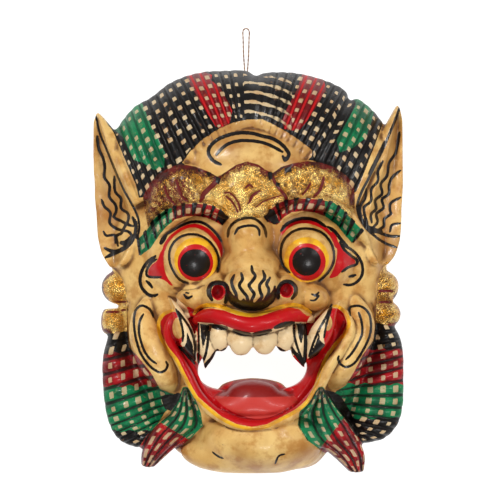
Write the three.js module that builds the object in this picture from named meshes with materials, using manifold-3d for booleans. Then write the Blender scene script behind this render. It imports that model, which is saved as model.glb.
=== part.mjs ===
// A carved and painted wooden guardian mask with a twine loop to hang it by.
//
// Millimetres, +Z up. The mask lies on its flat sawn back, face up: +X runs to the viewer's right,
// +Y to the crown of the hair and +Z out of the face. The origin is the middle of the back.

import * as THREE from "three";
import { mergeVertices } from "three/addons/utils/BufferGeometryUtils.js";
import Module from "manifold-3d";

// Driving dimensions: the timber block that the mask is carved from.
const BLOCK_WIDTH = 219;
const BLOCK_LENGTH = 282;
const BLOCK_DEPTH = 96;

// The carving below is drawn on a block of this size, and is stretched to the block above.
const DRAWN_WIDTH = 219;
const DRAWN_LENGTH = 282;
const DRAWN_DEPTH = 96;

// The hollow at the back: the wood left round it at the back plane, and in front of it at the deepest point.
const SIDE_WALL = 29;
const TOP_WALL = 22;
const CHIN_WALL = 15;
const FRONT_WALL = 13;

// The twine loop and the hole that it hangs from.
const CORD_DIAMETER = 1;
const STRAND_SPACING = 1.7;
const CORD_HOLE_DIAMETER = 3.9;
const CORD_HOLE_HEIGHT = 5.5;
const CORD_X = -1.4;
const LOOP_REACH = 31.5;
const LOOP_SPREAD = 4.6;
const KNOT_DIAMETER = 6;
const KNOT_SLACK = 2.8;
const CLEARANCE = 0.35;

// Colours of the three.js materials.
const IVORY = 0xe0b982;
const TWINE = 0x9c7a5a;

const wasm = await Module();
wasm.setup();

const stretch = new THREE.Matrix4().makeScale(
  BLOCK_WIDTH / DRAWN_WIDTH,
  BLOCK_LENGTH / DRAWN_LENGTH,
  BLOCK_DEPTH / DRAWN_DEPTH,
);

// Turns a closed three.js geometry into a solid, facing out whichever way its outline was drawn.
function solid(geometry) {
  const bare = geometry.index ? geometry.toNonIndexed() : geometry.clone();
  for (const name of Object.keys(bare.attributes)) {
    if (name !== "position") bare.deleteAttribute(name);
  }
  const merged = mergeVertices(bare, 1e-3);
  const index = merged.index.array;
  const corners = [];
  for (let i = 0; i < index.length; i += 3) {
    const [a, b, c] = index.slice(i, i + 3);
    if (a !== b && b !== c && c !== a) corners.push(a, b, c);
  }
  const build = (triVerts) =>
    new wasm.Manifold(
      new wasm.Mesh({
        numProp: 3,
        vertProperties: merged.attributes.position.array,
        triVerts: new Uint32Array(triVerts),
      }),
    );
  const made = build(corners);
  return made.volume() > 0 ? made : build(corners.reverse());
}

// A carved form, drawn on the drawing's block and stretched to the real one.
const carved = (geometry) => solid(geometry.applyMatrix4(stretch));

const union = (solids) => solids.reduce((all, one) => all.add(one));

function toGeometry(manifold) {
  const { numProp, numVert, vertProperties, triVerts } = manifold.getMesh();
  const position = new Float32Array(numVert * 3);
  for (let i = 0; i < numVert; i++) {
    position.set(vertProperties.subarray(i * numProp, i * numProp + 3), i * 3);
  }
  const geometry = new THREE.BufferGeometry();
  geometry.setAttribute("position", new THREE.BufferAttribute(position, 3));
  geometry.setIndex(new THREE.BufferAttribute(triVerts, 1));
  geometry.computeVertexNormals();
  return geometry;
}

const smoothCurve = (points, closed = false) =>
  new THREE.CatmullRomCurve3(
    points.map(([x, y, z = 0]) => new THREE.Vector3(x, y, z)),
    closed,
    "centripetal",
  );

const moveEachVertex = (geometry, move) => {
  const position = geometry.attributes.position;
  const vertex = new THREE.Vector3();
  for (let i = 0; i < position.count; i++) {
    vertex.fromBufferAttribute(position, i);
    move(vertex);
    position.setXYZ(i, vertex.x, vertex.y, vertex.z);
  }
  return geometry;
};

// An egg-shaped form. Turn is its angle in the plane of the face, in degrees.
function ball([x, y, z], [halfWidth, halfLength, halfDepth], turn = 0, around = 20) {
  return new THREE.SphereGeometry(1, around, Math.round(around / 2))
    .rotateX(Math.PI / 2)
    .scale(halfWidth, halfLength, halfDepth)
    .rotateZ(THREE.MathUtils.degToRad(turn))
    .translate(x, y, z);
}

// A roll of wood along a curve: half as wide as width(t) says, and half as high as height(t) says.
// Fullness 1 makes an egg, and less makes a bar with round ends.
function roll(points, width, height, { steps = 10, around = 8, fullness = 0.5 } = {}) {
  const curve = smoothCurve(points);
  const tangent = new THREE.Vector3();
  return moveEachVertex(new THREE.SphereGeometry(1, around, steps), (v) => {
    const girth = Math.hypot(v.x, v.z);
    const t = Math.acos(THREE.MathUtils.clamp(v.y, -1, 1)) / Math.PI;
    const swell = girth < 1e-6 ? 0 : girth ** fullness / girth;
    const across = v.x * swell * width(t);
    const up = v.z * swell * height(t);
    curve.getTangent(t, tangent);
    const flat = Math.hypot(tangent.x, tangent.y);
    curve.getPoint(t, v);
    v.x += (-tangent.y / flat) * across;
    v.y += (tangent.x / flat) * across;
    v.z += up;
  });
}

// A relief between two edges, rising through the back plane. U runs along both edges and v from one to the other.
function relief(edgeA, edgeB, columns, rows, top) {
  const a = new THREE.Vector3();
  const b = new THREE.Vector3();
  return moveEachVertex(new THREE.BoxGeometry(1, 1, 1, columns, rows, 1), (p) => {
    const u = p.x + 0.5;
    const v = p.y + 0.5;
    const raised = p.z > 0;
    edgeA(u, a);
    edgeB(u, b);
    p.lerpVectors(a, b, v);
    p.z = raised ? top(u, v, p.x, p.y) : BELOW_BACK;
  });
}

// A form whose section changes with height: each section is [z, curve, share of the curve's size].
function loft(sections, around) {
  const rows = sections.length - 1;
  const middles = sections.map(([, curve]) =>
    curve.getPoints(around).reduce((sum, p) => sum.add(p), new THREE.Vector3()).divideScalar(around + 1),
  );
  return moveEachVertex(new THREE.CylinderGeometry(1, 1, 1, around, rows), (v) => {
    const row = Math.round((v.y + 0.5) * rows);
    const [z, curve, share] = sections[row];
    const middle = middles[row];
    if (Math.hypot(v.x, v.z) < 0.5) {
      v.copy(middle);
    } else {
      const turn = (Math.atan2(v.x, v.z) / (2 * Math.PI) + 1) % 1;
      curve.getPoint(turn, v);
      v.sub(middle).multiplyScalar(share).add(middle);
    }
    v.z = z;
  });
}

// Forms start a little under the back plane, and the block cuts them off flat.
const BELOW_BACK = -4;

const constant = (value) => () => value;
const bump = (x, middle, halfWidth) => Math.exp(-(((x - middle) / halfWidth) ** 2));
const along = (curve) => (u, target) => curve.getPoint(u, target);
const mix = THREE.MathUtils.lerp;

// The face under everything: a dome on the jaw and temple line.
const FACE_LINE = smoothCurve(
  [
    [1, 124], [-46, 110], [-76, 80], [-92, 39], [-96, 6], [-92, -21], [-87, -49], [-79, -73],
    [-68, -94], [-64, -112], [-53, -125], [-36, -137], [1, -141], [33, -141.5], [49, -137],
    [60, -120], [73, -96], [85, -73], [92, -49], [95, -21], [98, 6], [95, 39], [80, 76], [50, 108],
  ],
  true,
);
const FACE_PROFILE = [
  [BELOW_BACK, 1], [15, 1], [21, 0.98], [30, 0.92], [38, 0.81], [46, 0.65], [52, 0.46], [56, 0.24], [57, 0],
];
const FACE_TOP = FACE_PROFILE.at(-1)[0];

const face = () => loft(FACE_PROFILE.map(([z, share]) => [z, FACE_LINE, share]), 34);

// The chin, the cheeks, the pads beside the nose and the brow ridges over the eyes.
const plumpForms = () => [
  ball([10, -117, 36], [43, 22, 31], 0, 14),
  ball([2, -128, 28], [50, 15, 25], 0, 12),
  ball([-38, 8, 36], [34, 33, 23], 10, 12),
  ball([41, 9, 36], [34, 33, 23], -10, 12),
  ball([-36, -17, 50], [14, 10, 16], 25, 10),
  ball([43, -17, 50], [14, 10, 16], -25, 10),
  ball([3, -14, 50], [44, 20, 26], 0, 12),
];

const cheeks = () => [
  roll(
    [[-69, -17, 38], [-73, -36, 42], [-67, -58, 44], [-57, -74, 42], [-49, -84, 36]],
    (t) => 9 + 3 * Math.sin(Math.PI * t),
    constant(13),
    { steps: 8 },
  ),
  roll(
    [[75, -16, 38], [82, -35, 42], [77, -56, 44], [68, -72, 42], [60, -83, 36]],
    (t) => 9 + 3 * Math.sin(Math.PI * t),
    constant(13),
    { steps: 8 },
  ),
];

// The swollen forehead between the hair and the diadem.
const forehead = () => ball([0.5, 70, 36], [50, 34, 26], 0, 18);

// The combed hair over the brow, between matched points of its outer and inner edge: a flute joins each pair.
const HAIR_OUTER = [
  [-100, 91], [-81, 114.4], [-67.7, 122.2], [-56.4, 131.3], [-39.5, 138], [-19.7, 140.6], [-0.7, 140.5],
  [5.2, 137], [11.3, 138.8], [29.6, 139.4], [49.3, 135.6], [68.4, 126.4], [71.9, 119.6], [76.8, 121.1],
  [89.5, 111.6], [101, 97],
];
const HAIR_INNER = [
  [-80, 45], [-57.3, 56], [-42.8, 66], [-29.7, 80], [-17.9, 92], [-7.6, 98], [0, 100],
  [3.5, 100], [7, 99], [15.9, 96], [27.6, 88], [40.1, 75], [45.6, 69], [51.1, 65],
  [62.2, 58], [76, 44],
];
const HAIR_LOCKS = 34;
const LOCK_DEPTH = 2;

function hair() {
  const outer = smoothCurve(HAIR_OUTER);
  const inner = smoothCurve(HAIR_INNER);
  return relief(
    (u, target) => inner.getPoint(outer.getUtoTmapping(u), target),
    (u, target) => outer.getPoint(outer.getUtoTmapping(u), target),
    HAIR_LOCKS * 2,
    3,
    (u, v) => {
      const swept = mix(52, 36, v) + 4 * Math.sin(Math.PI * v) - 14 * Math.abs(2 * u - 1) ** 5;
      const roundedEdge = 15 * v ** 6;
      const flute = (LOCK_DEPTH * (1 - Math.cos(2 * Math.PI * HAIR_LOCKS * u))) / 2;
      return swept - roundedEdge + flute;
    },
  );
}

// The gilded diadem: a band of three leaves over the brows.
const DIADEM_TOP = [
  [-71, 50], [-65.6, 62.7], [-56.6, 70.6], [-46.9, 73.7], [-36.6, 72.3], [-27.6, 68.9], [-20.7, 65.1],
  [-12, 71], [-0.7, 75.8], [10, 71.5], [17.3, 66.1], [26, 73], [41.4, 75.8], [56, 73], [68.4, 64.8], [72, 53],
];
const DIADEM_BOTTOM = [
  [-69, 32], [-62, 38], [-54, 42], [-44, 44], [-34, 44], [-26, 41], [-17, 36],
  [-8, 33], [-1.4, 32], [6, 33], [15, 37], [24, 43], [40, 46], [56, 42], [66, 35], [71, 29],
];
const DIADEM_LEAVES = 3;

const diadem = () =>
  relief(along(smoothCurve(DIADEM_BOTTOM)), along(smoothCurve(DIADEM_TOP)), 24, 4, (u, v) => {
    const leaf = Math.abs(Math.sin(Math.PI * DIADEM_LEAVES * u)) ** 0.6;
    const arch = 16 * Math.sin(Math.PI * u) ** 0.7;
    return 38 + arch + (4 + 7 * leaf) * Math.sin(Math.PI * mix(0.12, 0.88, v));
  });

// Each ear is a leaf cut off flat by the side of the block, high along its inner rim.
const EARS = [
  {
    outer: [[-97, 2], [-103, 12], [-106, 25], [-107, 40], [-108.5, 60], [-109.5, 80], [-109.5, 105], [-107.5, 111]],
    inner: [[-86, 4], [-73, 17], [-66, 36], [-75, 64], [-86, 84], [-94, 98], [-101, 106.5], [-106.5, 112]],
  },
  {
    outer: [[98, 4], [103, 10], [107, 22], [108.5, 42], [109.5, 60], [109.5, 80], [109.5, 105], [107.5, 116]],
    inner: [[87, 5], [75, 20], [71, 42], [77, 60], [86, 78], [93, 93], [98.5, 104.5], [105.5, 117]],
  },
];
const EAR_RIM_START = 0.62;

function ear({ outer, inner }) {
  return relief(along(smoothCurve(outer)), along(smoothCurve(inner)), 8, 5, (u, v) => {
    const thick = mix(36, 20, u);
    const shell = mix(thick - 9, thick - 3, v) - 3 * Math.sin(Math.PI * Math.min(1, v / EAR_RIM_START));
    return v > EAR_RIM_START ? thick + 4 * Math.sin(Math.PI * v) : shell;
  });
}

// The bulging eyes and the red corners that run out from them.
const EYES = [
  { middle: [-37.8, 9.7], corner: [[-52, 6, 48], [-62, 2, 46], [-70, 0, 40]] },
  { middle: [40.8, 11], corner: [[56, 8, 48], [66, 3, 46], [73.5, 5, 40]] },
];
const EYEBALL_RADIUS = 20.5;
const EYEBALL_DEPTH = 50;

const eyes = () =>
  EYES.flatMap(({ middle: [x, y], corner }) => [
    ball([x, y, EYEBALL_DEPTH], [EYEBALL_RADIUS, EYEBALL_RADIUS, EYEBALL_RADIUS], 0, 16),
    ball([x, y + 3, 40], [26.5, 24, 21], 0, 14),
    roll(corner, (t) => mix(11, 1.5, t), (t) => mix(10, 5, t), { steps: 6, fullness: 0.35 }),
  ]);

// The brows: two thick rolls that start low at the ears and meet the diadem.
const BROWS = [
  [[-72, 12, 36], [-65, 24, 44], [-55, 34, 51], [-42, 41.5, 57], [-29, 44, 60], [-19, 41, 60], [-12, 35, 58]],
  [[21, 35, 58], [30, 42, 60], [42.5, 46.5, 60], [56, 45, 57], [68, 38, 51], [77, 28, 44], [84, 18, 36]],
];
const brows = () =>
  BROWS.map((line) => roll(line, constant(4.8), constant(7), { steps: 10, around: 6, fullness: 0.35 }));

// The ball between the eyes, the broad nose and its wings.
const NOSTRILS = [
  [-20.5, -14, 77],
  [25.8, -12.5, 77],
];
const NOSTRIL_SIZE = [4, 4.8, 7];
const nose = () => [
  ball([-0.3, 23.5, 54], [14.6, 17, 22], 0, 16),
  ball([1.5, 3, 58], [20, 12, 26], 0, 10),
  ball([2.5, -10, 66], [19.5, 15.5, 30], 0, 16),
  ...NOSTRILS.map(([x, y]) => ball([x, y - 0.5, 60], [10, 11, 20], 0, 12)),
];
const nostrilHollows = () => NOSTRILS.map((middle) => ball(middle, NOSTRIL_SIZE, 0, 8));

// The mouth: a wide recess that narrows to a hole right through the mask.
const LIP_LINE = [
  [-45.5, -27, 50], [-53, -34, 54], [-55, -44, 55], [-49, -58, 55], [-42, -71, 55], [-35, -85, 56],
  [-24, -96.5, 58], [-9, -104, 60], [3, -106, 61], [18.5, -104, 60], [35.5, -95.5, 58],
  [48, -81.5, 56], [56.5, -65, 55], [66.5, -51, 54], [71, -40, 54], [67.5, -30, 53], [61, -25, 50],
];
const MOUTH_TOP = [[45, -33], [20, -38], [0, -41], [-16, -38], [-34, -33]];
const HOLE_LINE = [
  [-34.5, -66.5], [-34, -75], [-29, -80], [-15, -84], [3, -84], [18, -84], [33.5, -79.5], [39, -74],
  [41, -66.5], [38, -59], [29, -53], [3, -51.5], [-22, -53], [-30, -59],
];
const mouthLine = smoothCurve(
  [...LIP_LINE.map(([x, y]) => [x, y]), ...MOUTH_TOP],
  true,
);
const holeLine = smoothCurve(HOLE_LINE, true);
const MOUTH_FLOOR = 40;

const mouthRecess = () =>
  loft(
    [
      [BELOW_BACK, holeLine, 1],
      [MOUTH_FLOOR, holeLine, 1],
      [MOUTH_FLOOR + 8, mouthLine, 0.86],
      [DRAWN_DEPTH, mouthLine, 0.97],
    ],
    28,
  );

const lips = () => [
  roll(LIP_LINE, constant(4.2), constant(6), { steps: 20, around: 6, fullness: 0.3 }),
  roll(
    [[-38, -36, 52], [-31, -32, 60], [-22, -30.5, 66], [-10.5, -33, 71], [1.5, -36, 73], [15, -34.5, 71], [27, -31, 66], [37, -30.5, 60], [46, -35, 52]],
    (t) => 7.4 - 2.5 * Math.abs(2 * t - 1) ** 3,
    (t) => 12 - 2 * Math.abs(2 * t - 1),
    { steps: 14, around: 8, fullness: 0.3 },
  ),
];

// The front teeth, the two fangs beside them and the tusks that curl up past the lip.
const TEETH = [
  { x: -20.3, tip: -56.5, z: 64 },
  { x: -6.7, tip: -58.5, z: 67 },
  { x: 8.6, tip: -58.5, z: 67 },
  { x: 22.8, tip: -56.5, z: 64 },
];
const TOOTH_HALF_WIDTH = 7.4;
const TOOTH_TOP = -36;
const FANGS = [
  [[-30.5, -34, 57], [-31.5, -46, 62], [-31, -57, 61], [-29.5, -66.5, 58]],
  [[34.5, -33, 57], [35.5, -46, 62], [36.5, -57, 61], [36.5, -65.5, 58]],
];
const TUSKS = [
  [[-57, -16.5, 60], [-51, -26, 64], [-45, -40, 66], [-40, -53, 63], [-35, -64, 56]],
  [[65, -19.5, 60], [59.5, -28, 64], [52, -41, 66], [45, -53, 63], [38, -65, 56]],
];

const teeth = () => [
  ...TEETH.map(({ x, tip, z }) =>
    roll(
      [[x, TOOTH_TOP, z], [x, (TOOTH_TOP + tip) / 2, z + 1], [x, tip, z - 1]],
      constant(TOOTH_HALF_WIDTH),
      constant(5.5),
      { steps: 6, fullness: 0.4 },
    ),
  ),
  ...FANGS.map((line) =>
    roll(line, (t) => mix(6.4, 2.2, t), (t) => mix(7, 3, t), { steps: 6, fullness: 0.45 }),
  ),
  ...TUSKS.map((line) =>
    roll(
      line,
      (t) => 8.6 * Math.sin(Math.PI * t ** 1.25) ** 0.9 + 0.6,
      (t) => mix(6, 9, t),
      { steps: 9, fullness: 0.6 },
    ),
  ),
  ball([-49.5, -36, 50], [6, 8, 8], 0, 8),
  ball([60, -37, 50], [6, 8, 8], 0, 8),
];

// The tongue rises from the lower lip to a hump at the back of the mouth.
const tongue = () => [
  ball([6, -89, 40], [34, 13, 21], 0, 16),
  ball([3, -83, 26], [24, 9, 20], 0, 12),
];

// The gilded ear studs: scalloped blocks below the ears.
const STUDS = [
  [{ at: [-91, -12, 15], size: [12.5, 12, 17] }, { at: [-94.5, -36, 15], size: [9.5, 9.2, 15], square: true }],
  [{ at: [94.5, -12, 15], size: [12, 12, 16] }, { at: [96, -31, 15], size: [12, 10, 15] }],
];
const studs = () =>
  STUDS.flat().map(({ at, size, square }) =>
    square
      ? roll(
          [[at[0], at[1] + size[1], at[2]], [at[0], at[1] - size[1], at[2]]],
          constant(size[0]),
          constant(size[2]),
          { steps: 6, fullness: 0.15 },
        )
      : ball(at, size, 0, 12),
  );

// The plaited hair behind the jaw, ridged across its length.
const PLAITS = [
  {
    outer: [[-97, -41], [-102.6, -62], [-102.3, -81], [-100, -100], [-96, -112], [-90, -120], [-81, -124], [-71, -125]],
    inner: [[-82, -39], [-74, -55], [-64, -70], [-54, -84], [-48, -92], [-48, -100], [-52, -108], [-62, -117]],
    ridges: 11,
  },
  {
    outer: [[101.5, -37], [107, -47], [109.5, -58], [109.9, -73], [109.4, -92], [106, -107], [97, -118], [81, -122]],
    inner: [[85, -35], [78, -52], [70, -68], [62, -82], [56, -90], [58, -100], [64, -108], [72, -115]],
    ridges: 11,
  },
];
const RIDGE_DEPTH = 1.8;

const plaits = () =>
  PLAITS.map(({ outer, inner, ridges }) =>
    relief(along(smoothCurve(outer)), along(smoothCurve(inner)), ridges * 2, 2, (u, v) => {
      const roundOver = 12 * Math.sin(Math.PI * Math.min(1, v * 1.35 + 0.08)) ** 0.6;
      return 15 + roundOver + (RIDGE_DEPTH * (1 - Math.cos(2 * Math.PI * ridges * u))) / 2;
    }),
  );

// The tied scarf ends that cross the jaw, each grooved along its length, with a knot at the inner side.
const SCARVES = [
  {
    left: [[-45, -80], [-49.5, -91.7], [-54.4, -100.1], [-63.5, -107.7], [-69.4, -114.7], [-74.6, -128], [-75, -137]],
    right: [[-41, -80], [-37, -89.6], [-33.5, -98.7], [-31.7, -107.7], [-40.5, -116.1], [-53.7, -125.9], [-66.3, -138]],
  },
  {
    left: [[48, -80], [42.6, -90.3], [36.3, -98.7], [35.6, -107], [41.9, -117.5], [57.2, -128], [71, -141]],
    right: [[53, -80], [57.9, -90.3], [64.9, -100.1], [71.9, -108.4], [77.4, -118.2], [81.6, -129.4], [81, -141]],
  },
];
const SCARF_GROOVES = 3.5;

const scarves = () =>
  SCARVES.map(({ left, right }) =>
    relief(along(smoothCurve(left)), along(smoothCurve(right)), 4, 10, (u, v) => {
      const swell = 12 * Math.sin(Math.PI * mix(0.12, 0.88, v));
      const groove = (RIDGE_DEPTH * (1 - Math.cos(2 * Math.PI * SCARF_GROOVES * v))) / 2;
      return mix(40, 24, u) + swell + groove;
    }),
  );

// The hollow for the wearer's face: half an egg, cut from the back.
const hollowHalfWidth = BLOCK_WIDTH / 2 - SIDE_WALL;
const hollowHalfLength = (BLOCK_LENGTH - TOP_WALL - CHIN_WALL) / 2;
const hollowMiddle = (CHIN_WALL - TOP_WALL) / 2;
const hollowDepth = (FACE_TOP * BLOCK_DEPTH) / DRAWN_DEPTH - FRONT_WALL;

const hollow = () =>
  ball([0, hollowMiddle, 0], [hollowHalfWidth, hollowHalfLength, hollowDepth], 0, 20);

const block = () =>
  new THREE.BoxGeometry(BLOCK_WIDTH, BLOCK_LENGTH, BLOCK_DEPTH).translate(0, 0, BLOCK_DEPTH / 2);

// The hole for the twine runs from the top edge into the hollow, just above the back plane.
const hollowTop =
  hollowMiddle + hollowHalfLength * Math.sqrt(1 - (CORD_HOLE_HEIGHT / hollowDepth) ** 2);
const cordHole = () =>
  new THREE.CylinderGeometry(CORD_HOLE_DIAMETER / 2, CORD_HOLE_DIAMETER / 2, TOP_WALL * 2, 16).translate(
    CORD_X,
    hollowTop + TOP_WALL - KNOT_SLACK,
    CORD_HOLE_HEIGHT,
  );

function carveMask() {
  const head = union(
    [face(), ...plumpForms(), ...cheeks(), forehead(), hair(), diadem(), ...EARS.map(ear), ...eyes(),
      ...brows(), ...nose(), ...studs(), ...plaits(), ...scarves()].map(carved),
  );
  const opened = head
    .subtract(carved(mouthRecess()))
    .subtract(union(nostrilHollows().map(carved)));
  return union([opened, ...lips().map(carved), ...teeth().map(carved), ...tongue().map(carved)])
    .subtract(solid(hollow()))
    .intersect(solid(block()))
    .subtract(solid(cordHole()));
}

// The loop leaves the knot, comes out of the top edge, lies on the ground and goes back the same way.
const knotRadius = KNOT_DIAMETER / 2;
const knotY = hollowTop - knotRadius - KNOT_SLACK;
const cordStartY = knotY + knotRadius + CLEARANCE;
const edgeY = BLOCK_LENGTH / 2;
const restingZ = CORD_DIAMETER / 2 + 0.05;

function cordRoute() {
  const strand = STRAND_SPACING / 2;
  const belly = LOOP_SPREAD / 2;
  const outward = [
    [strand, cordStartY, CORD_HOLE_HEIGHT],
    [strand, edgeY - 12, CORD_HOLE_HEIGHT],
    [strand, edgeY - 2, CORD_HOLE_HEIGHT - 0.3],
    [strand + 0.3, edgeY + 3, CORD_HOLE_HEIGHT - 2.2],
    [strand + 0.6, edgeY + 7.5, restingZ + 0.8],
    [strand + 0.9, edgeY + 12, restingZ],
    [strand + 1.1, edgeY + 18, restingZ],
    [strand + 1.3, edgeY + LOOP_REACH - 6.5, restingZ],
    [belly, edgeY + LOOP_REACH - 2.6, restingZ],
    [belly * 0.68, edgeY + LOOP_REACH - 0.7, restingZ],
  ];
  const back = outward.map(([x, y, z]) => [-x, y, z]).reverse();
  return [...outward, [0, edgeY + LOOP_REACH, restingZ], ...back].map(
    ([x, y, z]) => new THREE.Vector3(CORD_X + x, y, z),
  );
}

function twist() {
  const route = new THREE.CatmullRomCurve3(cordRoute(), false, "centripetal");
  const section = new THREE.Shape(
    Array.from({ length: 6 }, (_, i) => {
      const angle = (2 * Math.PI * i) / 6;
      return new THREE.Vector2(Math.cos(angle), Math.sin(angle)).multiplyScalar(CORD_DIAMETER / 2);
    }),
  );
  const steps = Math.round(route.getLength() / (3 * CORD_DIAMETER));
  return new THREE.ExtrudeGeometry(section, { steps, extrudePath: route, bevelEnabled: false });
}

const knot = () =>
  new THREE.SphereGeometry(knotRadius, 10, 6)
    .scale(1, 1, 0.9)
    .translate(CORD_X, knotY, CORD_HOLE_HEIGHT);

function named(name, geometry, color, roughness) {
  const mesh = new THREE.Mesh(geometry, new THREE.MeshStandardMaterial({ color, roughness, metalness: 0 }));
  mesh.name = name;
  return mesh;
}

const mask = new THREE.Group();
mask.add(named("mask", toGeometry(carveMask()), IVORY, 0.35));
mask.add(named("hanging_cord", twist(), TWINE, 0.9));
mask.add(named("cord_knot", knot(), TWINE, 0.9));

export default mask;
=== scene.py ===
# %% [markdown]
# # A carved and painted guardian mask
# The mask is one block of light wood, carved by hand, coated with ivory paint, gilded and then lined in
# black.
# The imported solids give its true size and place. This script makes the finished surface round them.

import math

import bmesh
import bpy
import numpy as np
from mathutils import Matrix, Vector
from mathutils.kdtree import KDTree


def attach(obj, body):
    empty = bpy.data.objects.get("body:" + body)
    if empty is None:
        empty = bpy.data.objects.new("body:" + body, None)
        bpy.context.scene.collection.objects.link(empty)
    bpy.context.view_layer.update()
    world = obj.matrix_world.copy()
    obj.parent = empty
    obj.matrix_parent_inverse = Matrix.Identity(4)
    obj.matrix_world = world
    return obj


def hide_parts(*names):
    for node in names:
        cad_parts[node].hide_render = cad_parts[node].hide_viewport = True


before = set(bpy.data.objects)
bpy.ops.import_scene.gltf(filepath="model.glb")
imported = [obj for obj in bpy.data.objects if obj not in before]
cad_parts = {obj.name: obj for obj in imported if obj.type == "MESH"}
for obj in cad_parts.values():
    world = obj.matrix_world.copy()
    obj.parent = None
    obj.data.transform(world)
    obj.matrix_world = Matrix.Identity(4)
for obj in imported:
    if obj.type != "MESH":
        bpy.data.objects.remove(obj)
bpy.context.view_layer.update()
MM = 0.001

# %% [markdown]
# ## The camera
# The mask can't stand, so it lies face up and the camera looks straight down on it.
# A long lens from 1.5 m keeps the near nose and the far ears at almost the same scale, as in the photograph.

# %% Camera
DRAWING_SIZE = 500
DRAWING_SCALE = 0.7
DRAWING_HEIGHT = 30.0
CAMERA_HEIGHT = 1500.0
CAMERA_X = 1.4
CAMERA_Y = 14.35
SENSOR = 36.0
VIEW_WIDTH = DRAWING_SIZE * DRAWING_SCALE


def linked(name, data):
    """A new object that holds some data, linked into the scene."""
    made = bpy.data.objects.new(name, data)
    bpy.context.collection.objects.link(made)
    return made


def make_camera():
    lens = bpy.data.cameras.new("camera")
    lens.sensor_width = SENSOR
    lens.lens = SENSOR * (CAMERA_HEIGHT - DRAWING_HEIGHT) / VIEW_WIDTH
    camera = linked("camera", lens)
    camera.location = Vector((CAMERA_X, CAMERA_Y, CAMERA_HEIGHT)) * MM
    bpy.context.scene.camera = camera
    return lens


print("lens", round(make_camera().lens, 1), "mm")

# %% [markdown]
# ## Lines drawn through given points
# Every outline on the mask is a smooth line through a few chosen points. The solids were drawn with the
# centripetal kind of spline, which never loops between close points, so the same spline is used here.


# %% A smooth line
class Line:
    """A centripetal spline through points, read at t from 0 to 1."""

    def __init__(self, points, closed=False):
        p = np.array([(*q, 0.0)[:3] for q in points], float)
        before = p[-1] if closed else 2 * p[0] - p[1]
        after = [p[0], p[1]] if closed else [2 * p[-1] - p[-2]]
        row = np.vstack([before, p, *after])
        x0, x1, x2, x3 = row[:-3], row[1:-2], row[2:-1], row[3:]
        d0, d1, d2 = (
            np.maximum(np.linalg.norm(b - a, axis=1, keepdims=True) ** 0.5, 1e-4)
            for a, b in ((x0, x1), (x1, x2), (x2, x3))
        )
        leave = ((x1 - x0) / d0 - (x2 - x0) / (d0 + d1) + (x2 - x1) / d1) * d1
        arrive = ((x2 - x1) / d1 - (x3 - x1) / (d1 + d2) + (x3 - x2) / d2) * d1
        self.cubic = (x1, leave, -3 * x1 + 3 * x2 - 2 * leave - arrive, 2 * x1 - 2 * x2 + leave + arrive)
        self.spans = len(x1)

    def at(self, t):
        t = np.clip(np.asarray(t, float), 0, 1) * self.spans
        span = np.minimum(t.astype(int), self.spans - 1)
        w = (t - span)[..., None]
        c0, c1, c2, c3 = (c[span] for c in self.cubic)
        return c0 + w * (c1 + w * (c2 + w * c3))

    def even(self, share, steps=200):
        """The t at an even share of the line's length."""
        t = np.linspace(0, 1, steps + 1)
        length = np.concatenate([[0], np.cumsum(np.linalg.norm(np.diff(self.at(t), axis=0), axis=1))])
        return np.interp(np.asarray(share) * length[-1], length, t)

    def length(self):
        return float(np.linalg.norm(np.diff(self.at(np.linspace(0, 1, 2001)), axis=0), axis=1).sum())


# %% [markdown]
# ## The twine loop
# The mask hangs from two-ply twine that is knotted inside the hollow. A plain tube would look like wire, so
# the tube's section has two lobes that turn along the route, as two twisted plies look from outside.

# %% The route of the twine, as the solid's
CORD_DIAMETER = 1.0
CORD_X = -1.4
CORD_HOLE_HEIGHT = 5.5
CORD_START_Y = 115.59
KNOT_Y = 112.24
KNOT_DIAMETER = 6.0
EDGE_Y = 141.0
LOOP_REACH = 31.5
STRAND = 1.7 / 2
BELLY = 4.6 / 2
RESTING_Z = CORD_DIAMETER / 2 + 0.05


def twine_route():
    outward = [
        (STRAND, CORD_START_Y, CORD_HOLE_HEIGHT),
        (STRAND, EDGE_Y - 12, CORD_HOLE_HEIGHT),
        (STRAND, EDGE_Y - 2, CORD_HOLE_HEIGHT - 0.3),
        (STRAND + 0.3, EDGE_Y + 3, CORD_HOLE_HEIGHT - 2.2),
        (STRAND + 0.6, EDGE_Y + 7.5, RESTING_Z + 0.8),
        (STRAND + 0.9, EDGE_Y + 12, RESTING_Z),
        (STRAND + 1.1, EDGE_Y + 18, RESTING_Z),
        (STRAND + 1.3, EDGE_Y + LOOP_REACH - 6.5, RESTING_Z),
        (BELLY, EDGE_Y + LOOP_REACH - 2.6, RESTING_Z),
        (BELLY * 0.68, EDGE_Y + LOOP_REACH - 0.7, RESTING_Z),
    ]
    back = [(-x, y, z) for x, y, z in reversed(outward)]
    route = outward + [(0, EDGE_Y + LOOP_REACH, RESTING_Z)] + back
    return Line([(CORD_X + x, y, z) for x, y, z in route])


# %% A sheet of squares wrapped into a tube
def coordinates(bm):
    return np.array([v.co for v in bm.verts])


def place(bm, where):
    for vertex, point in zip(bm.verts, where):
        vertex.co = point


def closed_up(bm):
    """Welds seams, fills what is still open and turns every face outwards."""
    bmesh.ops.remove_doubles(bm, verts=bm.verts[:], dist=1e-4)
    bmesh.ops.holes_fill(bm, edges=bm.edges[:], sides=0)
    bmesh.ops.recalc_face_normals(bm, faces=bm.faces[:])
    return bm


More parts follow.
